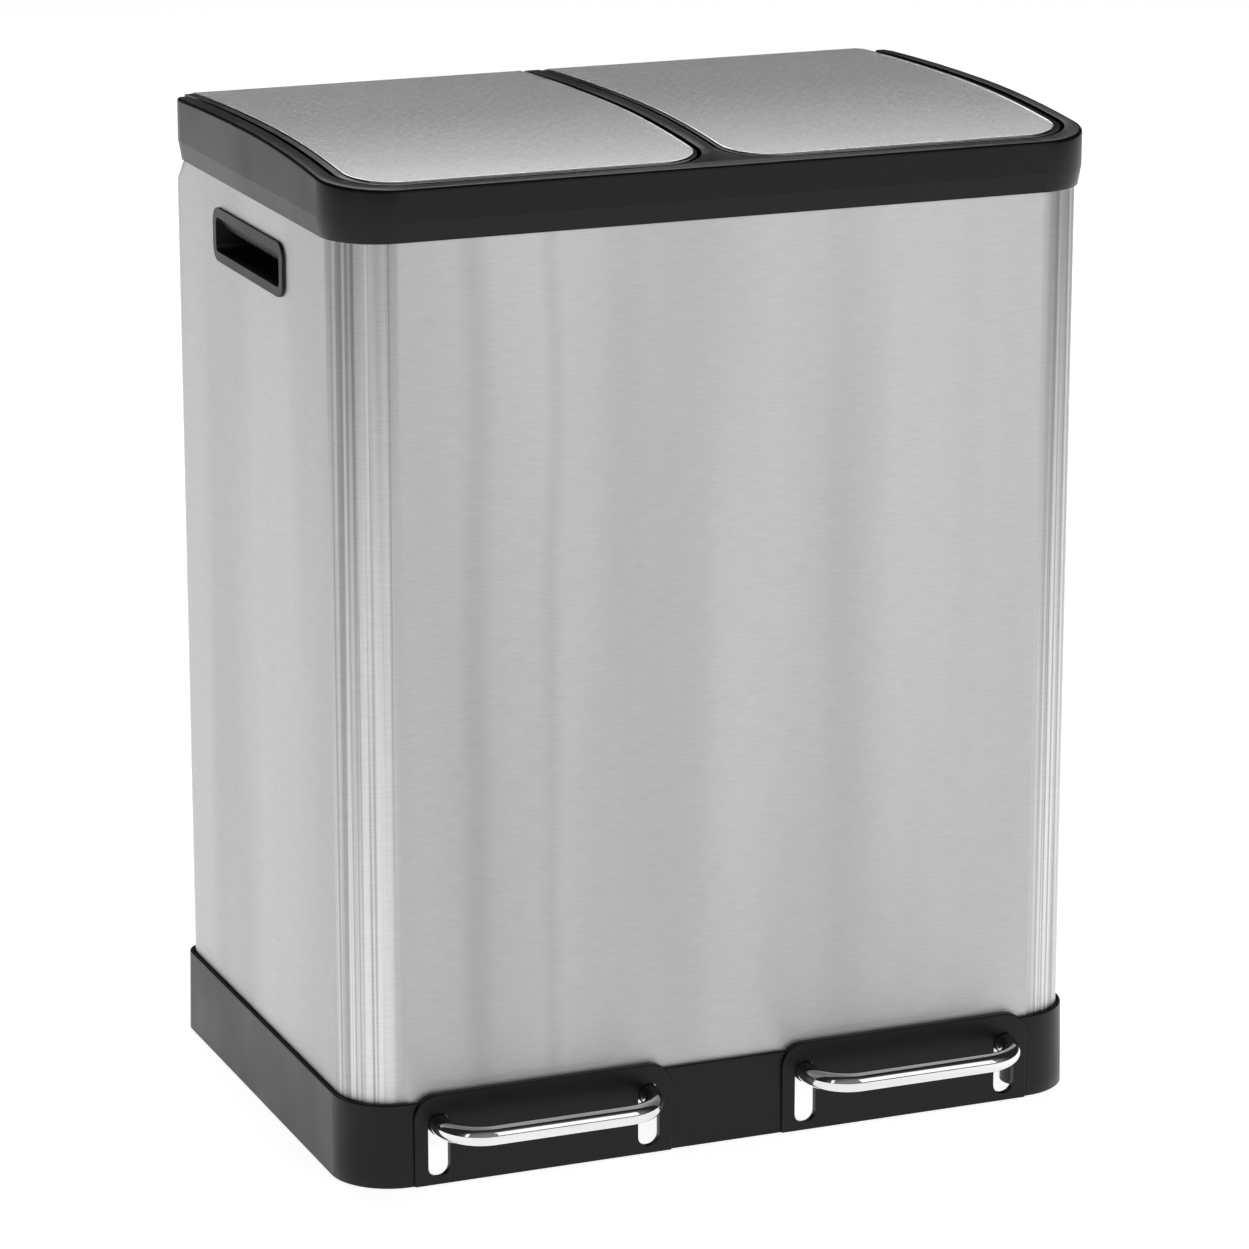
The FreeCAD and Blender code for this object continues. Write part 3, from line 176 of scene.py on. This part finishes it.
grain_group = make_grain_group()
print("group", grain_group.name, [s.name for s in grain_group.interface.items_tree])

# %% [markdown]
# ## Painted corner streaks and hollow shades
# The rounded corners of the sheet get fine upright light and dark streaks in
# their colour: painted reflection, there and nowhere else. A corner is where
# the surface faces neither along X nor along Y, so the product of the two parts
# of its normal makes the mask. The front sheet also has three shallow hollows
# that run upright; they are not modelled, and their shade is painted into the
# colour as slightly darker bands that wander a little on their way down.

# %% painted corner streaks and hollow shades
HOLLOW_SHADE_SWAY = 0.024       # metres that a hollow wanders sideways
SWAY_WAVES = 3.0          # waves of that wandering per metre of height


def make_corner_streak_group():
    group, start, end = new_group(
        "painted corner streaks", [("Line Waves", VECTOR, (330, 330, 0.6))], [("Lines", FLOAT), ("Mask", FLOAT)])
    facing = split_axes(group, add_node(group, "ShaderNodeNewGeometry").outputs["Normal"])
    both = math_node(group, "MULTIPLY", facing["X"], facing["Y"])
    size = math_node(group, "ABSOLUTE", both, 0.0)
    mask = ramp(group, size, 0.04, 0.3, 0.0, 1.0)
    place = own_place(group)
    # painted reflection: upright light and dark streaks for the colour, not marks on the sheet
    lines = stretched_noise(group, place, start.outputs["Line Waves"], 3.0, 0.7)
    sharp = ramp(group, lines, 0.36, 0.62, 0.0, 1.0)
    join(group, sharp, end.inputs["Lines"])
    join(group, mask, end.inputs["Mask"])
    return group


def make_hollow_shade_group():
    """How strong the painted shade of a hollow is at a distance from its upright line."""
    group, start, end = new_group(
        "painted hollow shade", [("Middle", FLOAT, -0.16), ("Half Width", FLOAT, 0.012)], [("Depth", FLOAT)])
    place = own_place(group)
    wander = add_node(group, "ShaderNodeVectorMath", operation="MULTIPLY")
    join(group, place, wander.inputs[0])
    wander.inputs[1].default_value = (0.0, 0.0, SWAY_WAVES)
    drift = add_node(group, "ShaderNodeTexNoise", Scale=1.0, Detail=1.0)
    join(group, wander.outputs[0], drift.inputs["Vector"])
    sway = math_node(group, "MULTIPLY", drift.outputs["Fac"], HOLLOW_SHADE_SWAY)
    line = math_node(group, "ADD", split_axes(group, place)["X"], sway)
    off = math_node(group, "ABSOLUTE", math_node(group, "SUBTRACT", line, start.outputs["Middle"]), 0.0)
    share = math_node(group, "DIVIDE", off, start.outputs["Half Width"])
    join(group, ramp(group, share, 0.0, 1.0, 1.0, 0.0), end.inputs["Depth"])
    return group


corner_streak_group = make_corner_streak_group()
hollow_shade_group = make_hollow_shade_group()
print("groups", corner_streak_group.name, "and", hollow_shade_group.name)

# %% [markdown]
# ## Brushed steel
# Steel takes its look from what it mirrors. Scratches spread that reflection
# across the grain, which is what the shader's anisotropy does. A tangent that
# runs round an axis of the piece gives it a direction, and a turn of 0.25, a
# quarter of a circle, stands that direction upright on the body. The sheet is
# also never quite flat, so a shallow, wide bump bends the reflections.

# %% brushed steel
SPREAD = 0.8              # how much longer the reflection is across the grain than along it
SCRATCH_STRENGTH, SCRATCH_DEPTH = 0.2, 0.00001
# painted shade of three hollows: darker bands in the colour; the hollows themselves are not modelled
HOLLOW_SHADES = (               # middle and half width in metres, and how much darker
    (-0.150, 0.014, 0.10),
    (-0.102, 0.009, 0.08),
    (0.092, 0.03, 0.05),
)


def principled(name):
    """A new material; returns it with its tree and its shader."""
    material = bpy.data.materials.new(name)
    material.use_nodes = True
    tree = material.node_tree
    return material, tree, tree.nodes["Principled BSDF"]


def shade_range(tree, value, low, high):
    """Maps the middle of a noise onto a range of greys or roughness."""
    return ramp(tree, value, 0.3, 0.7, low, high)


def brushed_steel(name, waves, patch_waves, axis, turn, bend_waves, bend_depth, tone, rough, contrast):
    """Returns the material, its tree, its shader, and the socket with its tone."""
    material, tree, shader = principled(name)
    grain = use_group(tree, grain_group, Waves=waves, Patch_Waves=patch_waves)
    patch = shade_range(tree, grain.outputs["Patch"], tone[0], tone[1])
    dash = shade_range(tree, grain.outputs["Dash"], 1.0 - contrast, 1.0 + contrast)
    tone_all = math_node(tree, "MULTIPLY", patch, dash)
    join(tree, tone_all, shader.inputs["Base Color"])
    join(tree, shade_range(tree, grain.outputs["Scratch"], rough[0], rough[1]), shader.inputs["Roughness"])
    shader.inputs["Metallic"].default_value = 1.0
    shader.inputs["Anisotropic"].default_value = SPREAD
    shader.inputs["Anisotropic Rotation"].default_value = turn
    tangent = add_node(tree, "ShaderNodeTangent", direction_type="RADIAL", axis=axis)
    join(tree, tangent.outputs[0], shader.inputs["Tangent"])
    bend = add_node(tree, "ShaderNodeBump", Strength=1.0, Distance=bend_depth)
    join(tree, stretched_noise(tree, own_place(tree), bend_waves, 1.0), bend.inputs["Height"])
    scratch = add_node(tree, "ShaderNodeBump", Strength=SCRATCH_STRENGTH, Distance=SCRATCH_DEPTH)
    join(tree, grain.outputs["Scratch"], scratch.inputs["Height"])
    join(tree, bend.outputs["Normal"], scratch.inputs["Normal"])
    join(tree, scratch.outputs["Normal"], shader.inputs["Normal"])
    return material, tree, shader, tone_all


def make_body_steel():
    """Steel whose grain runs round the body, with painted reflection streaks on its corners and painted
    shade along three hollows.
    """
    material, tree, shader, tone = brushed_steel(
        "brushed body steel", waves=(170, 170, 2600), patch_waves=(11, 11, 1.0), axis="Z", turn=0.25,
        bend_waves=(8, 8, 0.9), bend_depth=0.0016, tone=(0.56, 0.65), rough=(0.40, 0.48), contrast=0.035)
    # painted reflection: on the corners the streaks scale the colour between 0.82 and 1.5 times
    corner = use_group(tree, corner_streak_group)
    swing = ramp(tree, corner.outputs["Lines"], 0.0, 1.0, 0.82, 1.50)
    lift = math_node(tree, "SUBTRACT", swing, 1.0)
    lines = math_node(tree, "ADD", math_node(tree, "MULTIPLY", lift, corner.outputs["Mask"]), 1.0)
    tone = math_node(tree, "MULTIPLY", tone, lines)
    # painted shade: each hollow darkens the colour along its wandering band
    for middle, half_width, dark in HOLLOW_SHADES:
        hollow = use_group(tree, hollow_shade_group, Middle=middle, Half_Width=half_width)
        shade = math_node(tree, "SUBTRACT", 1.0, math_node(tree, "MULTIPLY", hollow.outputs["Depth"], dark))
        tone = math_node(tree, "MULTIPLY", tone, shade)
    join(tree, tone, shader.inputs["Base Color"])
    return material


body_steel = make_body_steel()
lid_steel = brushed_steel(
    "brushed lid steel", waves=(170, 1800, 170), patch_waves=(3, 8, 3), axis="X", turn=0.0,
    bend_waves=(3, 3, 3), bend_depth=0.0003, tone=(0.51, 0.55), rough=(0.27, 0.29), contrast=0.02)[0]
print("steels", body_steel.name, lid_steel.name)

# %% [markdown]
# ## Moulded plastic
# The base, the top frame and the cups are black plastic from a mould with a
# very fine spark-eroded grain. It is not pure black: broad soft highlights sit
# on it. A little variation in roughness keeps it from looking like paint.

# %% moulded plastic
def make_mould_group():
    group, start, end = new_group(
        "mould grain", [("Grain Waves", VECTOR, (900, 900, 900)), ("Cloud Waves", VECTOR, (14, 14, 14))],
        [("Grain", FLOAT), ("Cloud", FLOAT)])
    place = own_place(group)
    join(group, stretched_noise(group, place, start.outputs["Grain Waves"], 2.0), end.inputs["Grain"])
    join(group, stretched_noise(group, place, start.outputs["Cloud Waves"], 3.0), end.inputs["Cloud"])
    return group


mould_group = make_mould_group()


PLASTIC_SHINE = 0.26      # strength of the plastic's surface reflection; 0.5 is common


def moulded_plastic(name, tone, rough, bump=0.00003, grain=(900, 900, 900)):
    material, tree, shader = principled(name)
    mould = use_group(tree, mould_group, Grain_Waves=grain)
    cloud = shade_range(tree, mould.outputs["Cloud"], tone * 0.85, tone * 1.15)
    fine = shade_range(tree, mould.outputs["Grain"], 0.9, 1.1)
    join(tree, math_node(tree, "MULTIPLY", cloud, fine), shader.inputs["Base Color"])
    join(tree, shade_range(tree, mould.outputs["Cloud"], rough - 0.04, rough + 0.04),
         shader.inputs["Roughness"])
    shader.inputs["Specular IOR Level"].default_value = PLASTIC_SHINE
    texture = add_node(tree, "ShaderNodeBump", Strength=0.5, Distance=bump)
    join(tree, mould.outputs["Grain"], texture.inputs["Height"])
    join(tree, texture.outputs["Normal"], shader.inputs["Normal"])
    return material


black_plastic = moulded_plastic("black moulded plastic", 0.005, 0.36)
cup_plastic = moulded_plastic("satin cup plastic", 0.020, 0.45)
bucket_plastic = moulded_plastic("dark bucket plastic", 0.045, 0.5)
slide_plastic = moulded_plastic("grey slide plastic", 0.12, 0.4)
rubber = moulded_plastic("black rubber", 0.018, 0.75, 0.00006, (600, 600, 600))
print("plastics made")

# %% [markdown]
# ## Chrome, zinc and plain sheet
# The pedal bars are polished chrome, which is almost a mirror. The levers,
# rods and pins hidden inside are bright zinc with a faint cloudy spangle, and
# the rear panel is plain, undressed sheet.

# %% other metals
def plain_metal(name, tone, rough, cloud=(40, 40, 40), bump=0.00001):
    material, tree, shader = principled(name)
    mould = use_group(tree, mould_group, Cloud_Waves=cloud)
    join(tree, shade_range(tree, mould.outputs["Cloud"], tone[0], tone[1]), shader.inputs["Base Color"])
    join(tree, shade_range(tree, mould.outputs["Cloud"], rough[0], rough[1]), shader.inputs["Roughness"])
    shader.inputs["Metallic"].default_value = 1.0
    texture = add_node(tree, "ShaderNodeBump", Strength=0.4, Distance=bump)
    join(tree, mould.outputs["Grain"], texture.inputs["Height"])
    join(tree, texture.outputs["Normal"], shader.inputs["Normal"])
    return material


chrome = plain_metal("pedal chrome", (0.80, 0.86), (0.04, 0.09), (25, 25, 25), 0.000002)
zinc = plain_metal("bright zinc", (0.50, 0.64), (0.26, 0.40))
plain_sheet = plain_metal("plain sheet", (0.42, 0.52), (0.38, 0.50), (12, 12, 4))
rivet_metal = plain_metal("rivet aluminium", (0.62, 0.70), (0.30, 0.40))
print("metals made")

# %% [markdown]
# ## Dressing the solids
# Each solid already has its true shape, and its slot in the record says what it
# is made of. It gets that finish. The pieces that show most also get a tiny
# bevel, because no real edge is perfectly sharp and a bevel catches the light.

# %% dress the solids
finish_of_slot = {
    "brushed_wrap": body_steel,
    "brushed_lid": lid_steel,
    "plain_steel": plain_sheet,
    "moulded_black": black_plastic,
    "bucket_plastic": bucket_plastic,
    "chrome_bar": chrome,
    "zinc_steel": zinc,
    "rivet_metal": rivet_metal,
    "rubber_black": rubber,
    "slide_plastic": slide_plastic,
}


SAME_POINT = 0.00001      # metres below which two corners are one
BEVEL_ANGLE = 38          # degrees above which an edge counts as sharp


def soften(obj, width, segments=2):
    """Joins the solid's split corners and rounds its sharp edges a little."""
    weld = obj.modifiers.new("weld", "WELD")
    weld.merge_threshold = SAME_POINT
    bevel = obj.modifiers.new("soft edges", "BEVEL")
    bevel.width = width
    bevel.segments = segments
    bevel.limit_method = "ANGLE"
    bevel.angle_limit = math.radians(BEVEL_ANGLE)
    bevel.harden_normals = True


def dress(obj, material):
    """Gives a piece one material all over."""
    obj.data.materials.clear()
    obj.data.materials.append(material)


slot_of_node = {row["node"]: row["material_slot"] for row in frame["record"]["subparts"]}
for name, obj in nodes.items():
    dress(obj, cup_plastic if "cup" in name else finish_of_slot[slot_of_node[name]])
edge_width = {"body_wrap": 0.0002, "top_frame": 0.0005, "base_moulding": 0.0005}
for side in ("left", "right"):
    edge_width[side + "_lid_tray"] = 0.0004
    edge_width[side + "_handle_cup"] = 0.0006
    edge_width[side + "_bucket"] = 0.0005
for name, width in edge_width.items():
    soften(nodes[name], width)
print("dressed", len(nodes), "with", len(edge_width), "edges softened")

# %% [markdown]
# ## Tools for small pieces
# The small pieces are of two kinds: bars bent along a line, and turned pieces
# spun round an axis. Each kind gets one function that makes its mesh from a
# few numbers, and one function that finishes a piece: it gives it a material
# and a body to ride on.

# %% mesh tools
def new_object(name, bm, material, body, smooth_angle=40):
    """Turns a mesh into a finished piece that rides on a body."""
    bmesh.ops.recalc_face_normals(bm, faces=bm.faces)
    mesh = bpy.data.meshes.new(name)
    bm.to_mesh(mesh)
    bm.free()
    mesh.shade_smooth()
    mesh.set_sharp_from_angle(angle=math.radians(smooth_angle))
    obj = bpy.data.objects.new(name, mesh)
    bpy.context.scene.collection.objects.link(obj)
    dress(obj, material)
    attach(obj, body)
    return obj


def bridge(bm, one, two):
    """A band of faces between two rings with as many corners."""
    count = len(one)
    for k in range(count):
        bm.faces.new((one[k], one[(k + 1) % count], two[(k + 1) % count], two[k]))


def close_rings(bm, first, last):
    bm.faces.new(first)
    bm.faces.new(last)


def add_bar(bm, points, width, height, up, sides=10, ripple=0.0):
    """A bar of oval section along the points; width lies across 'up'."""
    rings = []
    for i, point in enumerate(points):
        ahead = points[min(i + 1, len(points) - 1)] - points[max(i - 1, 0)]
        across = ahead.cross(up).normalized()
        rise = across.cross(ahead).normalized()
        swell = 1.0 + ripple * math.sin(2.1 * i)
        ring = []
        for k in range(sides):
            turn = 2 * math.pi * k / sides
            offset = across * (width / 2 * math.cos(turn)) + rise * (height / 2 * math.sin(turn))
            ring.append(bm.verts.new(point + offset * swell))
        rings.append(ring)
    for one, two in zip(rings, rings[1:]):
        bridge(bm, one, two)
    close_rings(bm, rings[0], rings[-1])


def add_turned(bm, profile, place, along, segments=20):
    """A piece turned round an axis; the profile is (along the axis, radius)."""
    along = along.normalized()
    side = along.orthogonal().normalized()
    other = along.cross(side)
    rings = []
    for reach, radius in profile:
        ring = []
        for k in range(segments):
            turn = 2 * math.pi * k / segments
            out = side * math.cos(turn) + other * math.sin(turn)
            ring.append(bm.verts.new(place + along * reach + out * radius))
        rings.append(ring)
    for one, two in zip(rings, rings[1:]):
        bridge(bm, one, two)
    return rings


def islands(obj):
    """Lowest and highest corners of each separate lump of a mesh."""
    bm = bmesh.new()
    bm.from_mesh(obj.data)
    bmesh.ops.remove_doubles(bm, verts=bm.verts, dist=SAME_POINT)
    left = set(bm.verts)
    boxes = []
    while left:
        stack = [left.pop()]
        lump = [stack[0].co.copy()]
        while stack:
            for edge in stack.pop().link_edges:
                for vert in edge.verts:
                    if vert in left:
                        left.discard(vert)
                        stack.append(vert)
                        lump.append(vert.co.copy())
        low = Vector([min(co[i] for co in lump) for i in range(3)])
        high = Vector([max(co[i] for co in lump) for i in range(3)])
        boxes.append((low, high))
    bm.free()
    return boxes


print("rivets", len(islands(nodes["panel_rivets"])), "screws", len(islands(nodes["bracket_screws"])))

# %% [markdown]
# ## The bright rim of each lid
# The lid's skin is cut and then polished along its edge, and that narrow rim
# shows as a white line round the front of each lid. It follows the skin's plan
# outline, and its height follows the lid's arched surface.

# %% polished lid rims
CREST_Y, CREST_Z = 0.01675, 0.6235      # where the lids are highest
ARC_FRONT, ARC_REAR = 1.330, 3.000      # radii of the arch before and behind the crest
RIM_WIDTH, RIM_HEIGHT = 0.0014, 0.0009
CORNER = 0.028                          # radius of the skin's front corners
REAR_GAP = 0.012                        # the rim stops this far before the skin's rear edge


def lid_height(y):
    radius = ARC_FRONT if y < CREST_Y else ARC_REAR
    return CREST_Z - radius + math.sqrt(radius ** 2 - (y - CREST_Y) ** 2)


def lid_rim_line(low, high):
    """Points along the skin's edge: left side, front with its corners, right side."""
    inset = RIM_WIDTH / 2
    x0, x1, y0 = low.x + inset, high.x - inset, low.y + inset
    y_end = high.y - REAR_GAP
    r = CORNER - inset
    flat = [(x0, y_end + (y0 + r - y_end) * k / 24) for k in range(24)]
    flat += [(x0 + r - r * math.cos(a), y0 + r - r * math.sin(a))
             for a in (math.pi / 2 * k / 12 for k in range(13))]
    flat += [(x0 + r + (x1 - x0 - 2 * r) * k / 8, y0) for k in range(1, 8)]
    flat += [(x1 - r + r * math.sin(a), y0 + r - r * math.cos(a))
             for a in (math.pi / 2 * k / 12 for k in range(13))]
    flat += [(x1, y0 + r + (y_end - y0 - r) * k / 24) for k in range(1, 25)]
    return [Vector((x, y, lid_height(y))) for x, y in flat]


polished_edge = plain_metal("polished edge", (0.92, 0.96), (0.30, 0.38), (60, 60, 60), 0.000002)
for side in ("left", "right"):
    low, high = (Vector(corner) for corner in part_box(side + "_lid_skin"))
    bm = bmesh.new()
    add_bar(bm, lid_rim_line(low, high), RIM_WIDTH, RIM_HEIGHT, Vector((0, 0, 1)))
    new_object(side + "_lid_rim", bm, polished_edge, side + "_lid")
print("lid rims from", round(low.x, 4), "to", round(high.x, 4))

# %% [markdown]
# ## Dark sleeves on the pedal legs
# Where a chrome leg goes into its slot it wears a black sleeve, a dark piece that
# stands for the shade inside the slot and its reflection in the chrome. It is a
# turned tube with a rounded front lip.

# %% pedal sleeves
SLEEVE_WALL, SLEEVE_LENGTH = 0.0006, 0.018
SLEEVE_OUT = 0.0015       # how far a sleeve stands out of the pad


def leg_places(side):
    """Centre lines of the two legs, and the bar's radius, from the pedal bar's box."""
    low, high = (Vector(corner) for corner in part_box(side + "_pedal_bar"))
    radius = (high.z - low.z) / 2
    return [low.x + radius, high.x - radius], (low.z + high.z) / 2, radius


def add_sleeve(bm, x, y, z, radius):
    outer = radius + SLEEVE_WALL
    profile = [(0.0, radius), (0.0, radius + SLEEVE_WALL * 0.5), (0.0003, outer - 0.0001), (0.0008, outer),
               (SLEEVE_LENGTH, outer), (SLEEVE_LENGTH, radius)]
    rings = add_turned(bm, profile, Vector((x, y, z)), Vector((0, 1, 0)), 28)
    bridge(bm, rings[-1], rings[0])


base_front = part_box("base_moulding")[0][1]
for side in ("left", "right"):
    xs, z, radius = leg_places(side)
    bm = bmesh.new()
    for x in xs:
        add_sleeve(bm, x, base_front - SLEEVE_OUT, z, radius)
    # painted shade: the black sleeves stand for the shade inside the slots and its reflection in the chrome
    new_object(side + "_pedal_shade_sleeves", bm, rubber, side + "_pedal")
print("sleeves at", [round(x, 4) for x in xs], "from", round(base_front - SLEEVE_OUT, 4))

# %% [markdown]
# ## Welds under the pedals
# Each leg is welded to the cross plate along both sides. A weld is a row of
# small frozen ripples, so the bar that stands for it swells and shrinks.

# %% weld beads
zinc_weld = plain_metal("weld metal", (0.30, 0.42), (0.38, 0.55), (160, 160, 160), 0.00008)
WELD_SIZE = 0.0032
WELD_LIFT = 0.0009        # centre of the bead above the plate
WELD_END = 0.002          # bare plate left at either end
WELD_OFFSET = 0.62        # centre of the bead beside the leg, as a share of the leg's radius
for side in ("left", "right"):
    xs, z, radius = leg_places(side)
    low, high = (Vector(corner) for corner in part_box(side + "_cross_plate"))
    bm = bmesh.new()
    for x in xs:
        for way in (-1, 1):
            across = x + way * (radius * WELD_OFFSET)
            length = high.y - low.y - 2 * WELD_END
            line = [Vector((across, low.y + WELD_END + length * k / 30, high.z + WELD_LIFT))
                    for k in range(31)]
            add_bar(bm, line, WELD_SIZE, WELD_SIZE * 0.8, Vector((0, 0, 1)), 8, 0.12)
    new_object(side + "_pedal_welds", bm, zinc_weld, side + "_pedal")
print("welds at height", round(high.z, 4))

# %% [markdown]
# ## Broken pins in the rivets
# A blind rivet is set by pulling a pin until it snaps, and the stub stays in
# the middle of the head, inside a small ring.

# %% rivet stubs
steel_stub = plain_metal("rivet stub steel", (0.18, 0.26), (0.35, 0.5), (200, 200, 200), 0.00003)


STUB_SUNK = 0.0001        # how deep the ring sits in the rivet's head
STUB_PROFILE = (          # height and radius, from the ring's outside to the pin's end
    (0.0, 0.0014), (0.00018, 0.0013), (0.00022, 0.0010),
    (0.00006, 0.0008), (0.00010, 0.0006), (0.00030, 0.0004),
)


def add_stub(bm, low, high):
    place = Vector(((low.x + high.x) / 2, high.y - STUB_SUNK, (low.z + high.z) / 2))
    rings = add_turned(bm, STUB_PROFILE, place, Vector((0, 1, 0)))
    close_rings(bm, rings[0], rings[-1])


for name in ("panel_rivets", "guide_rivets"):
    bm = bmesh.new()
    for low, high in islands(nodes[name]):
        add_stub(bm, low, high)
    new_object(name.replace("rivets", "rivet_stubs"), bm, steel_stub, "bin")
print("stubs made")

# %% [markdown]
# ## The floor
# A catalogue photograph of bright steel is largely a photograph of the studio
# around it. The floor is one plain pale colour and glows a little by itself,
# so the bin stands on white, and the upright steel mirrors that white.

# %% floor
FLOOR_TONE = 0.88
FLOOR_HALF = 30.0         # metres from the middle to an edge


def make_floor():
    mesh = bpy.data.meshes.new("floor")
    bm = bmesh.new()
    corners = ((-1, -1), (1, -1), (1, 1), (-1, 1))
    bm.faces.new([bm.verts.new((x * FLOOR_HALF, y * FLOOR_HALF, 0.0)) for x, y in corners])
    bm.to_mesh(mesh)
    bm.free()
    floor = bpy.data.objects.new("floor", mesh)
    bpy.context.scene.collection.objects.link(floor)
    material, _, shader = principled("pale floor")
    shader.inputs["Roughness"].default_value = 0.9
    shader.inputs["Specular IOR Level"].default_value = 0.0
    shader.inputs["Base Color"].default_value = grey(FLOOR_TONE)
    shader.inputs["Emission Color"].default_value = grey(FLOOR_TONE)
    shader.inputs["Emission Strength"].default_value = 1.0
    dress(floor, material)
    return floor


floor = make_floor()
print("floor", 2 * FLOOR_HALF, "m wide")

# %% [markdown]
# ## Lamps and room
# Three soft boxes light the bin: one from the front right, a narrow one that
# draws the left front corner, and a wide one overhead that the lids mirror.
# The room is dark but for a faint glow from the front.

# %% lamps and room
BODY_MIDDLE, LID_MIDDLE = (0.0, 0.0, 0.3), (0.0, 0.0, 0.62)
LAMPS = (                 # name, place, target, width and height, watts
    ("front box", (1.5, -3.2, 1.9), BODY_MIDDLE, (1.4, 2.4), 11),
    ("corner box", (-2.9, -2.4, 1.5), BODY_MIDDLE, (0.5, 2.4), 4),
    ("overhead box", (0.6, 2.5, 3.1), LID_MIDDLE, (3.2, 1.0), 50),
)
ROOM_DARK, ROOM_GLOW = 0.02, 0.22


def area_light(name, place, target, size, power):
    data = bpy.data.lights.new(name, "AREA")
    data.shape = "RECTANGLE"
    data.size, data.size_y = size
    data.energy = power
    lamp = bpy.data.objects.new(name, data)
    lamp.location = place
    lamp.rotation_mode = "QUATERNION"
    lamp.rotation_quaternion = (Vector(target) - Vector(place)).to_track_quat("-Z", "Y")
    bpy.context.scene.collection.objects.link(lamp)
    return lamp


def make_world():
    world = bpy.data.worlds.new("studio")
    bpy.context.scene.world = world
    world.use_nodes = True
    tree = world.node_tree
    background = tree.nodes["Background"]
    way = split_axes(tree, add_node(tree, "ShaderNodeTexCoord").outputs["Generated"])
    background.inputs["Color"].default_value = grey(1.0)
    glow = ramp(tree, way["Y"], -0.2, -0.9, ROOM_DARK, ROOM_GLOW)
    join(tree, glow, background.inputs["Strength"])
    return world


for lamp_values in LAMPS:
    area_light(*lamp_values)
world = make_world()
bpy.context.scene.view_settings.view_transform = "Standard"
print("lamps", len(LAMPS), "and room", world.name)

# %% [markdown]
# ## The camera
# The lens, place and direction come from fitting a camera to the photograph's
# straight edges. A lens in pixels becomes one in millimetres through the width
# of the sensor, so the bin takes up as much of the frame as in the photograph.

# %% camera
PICTURE = 1249.0          # pixels across the photograph
LENS_PIXELS = 5234.0      # focal length in those pixels
SENSOR = 36.0             # millimetres across
CAMERA_PLACE = (-1.203, -2.936, 1.1785)
CAMERA_YAW, CAMERA_PITCH = 22.16, 15.57     # degrees to the right, and down


def make_camera():
    data = bpy.data.cameras.new("camera")
    data.sensor_width = SENSOR
    data.lens = LENS_PIXELS / PICTURE * data.sensor_width
    camera = bpy.data.objects.new("camera", data)
    camera.location = CAMERA_PLACE
    yaw, pitch = math.radians(CAMERA_YAW), math.radians(CAMERA_PITCH)
    look = Vector((math.sin(yaw) * math.cos(pitch), math.cos(yaw) * math.cos(pitch), -math.sin(pitch)))
    camera.rotation_mode = "QUATERNION"
    camera.rotation_quaternion = look.to_track_quat("-Z", "Y")
    bpy.context.scene.collection.objects.link(camera)
    bpy.context.scene.camera = camera
    return camera


camera = make_camera()
print("lens", round(camera.data.lens, 1), "mm at", [round(v, 3) for v in camera.location])
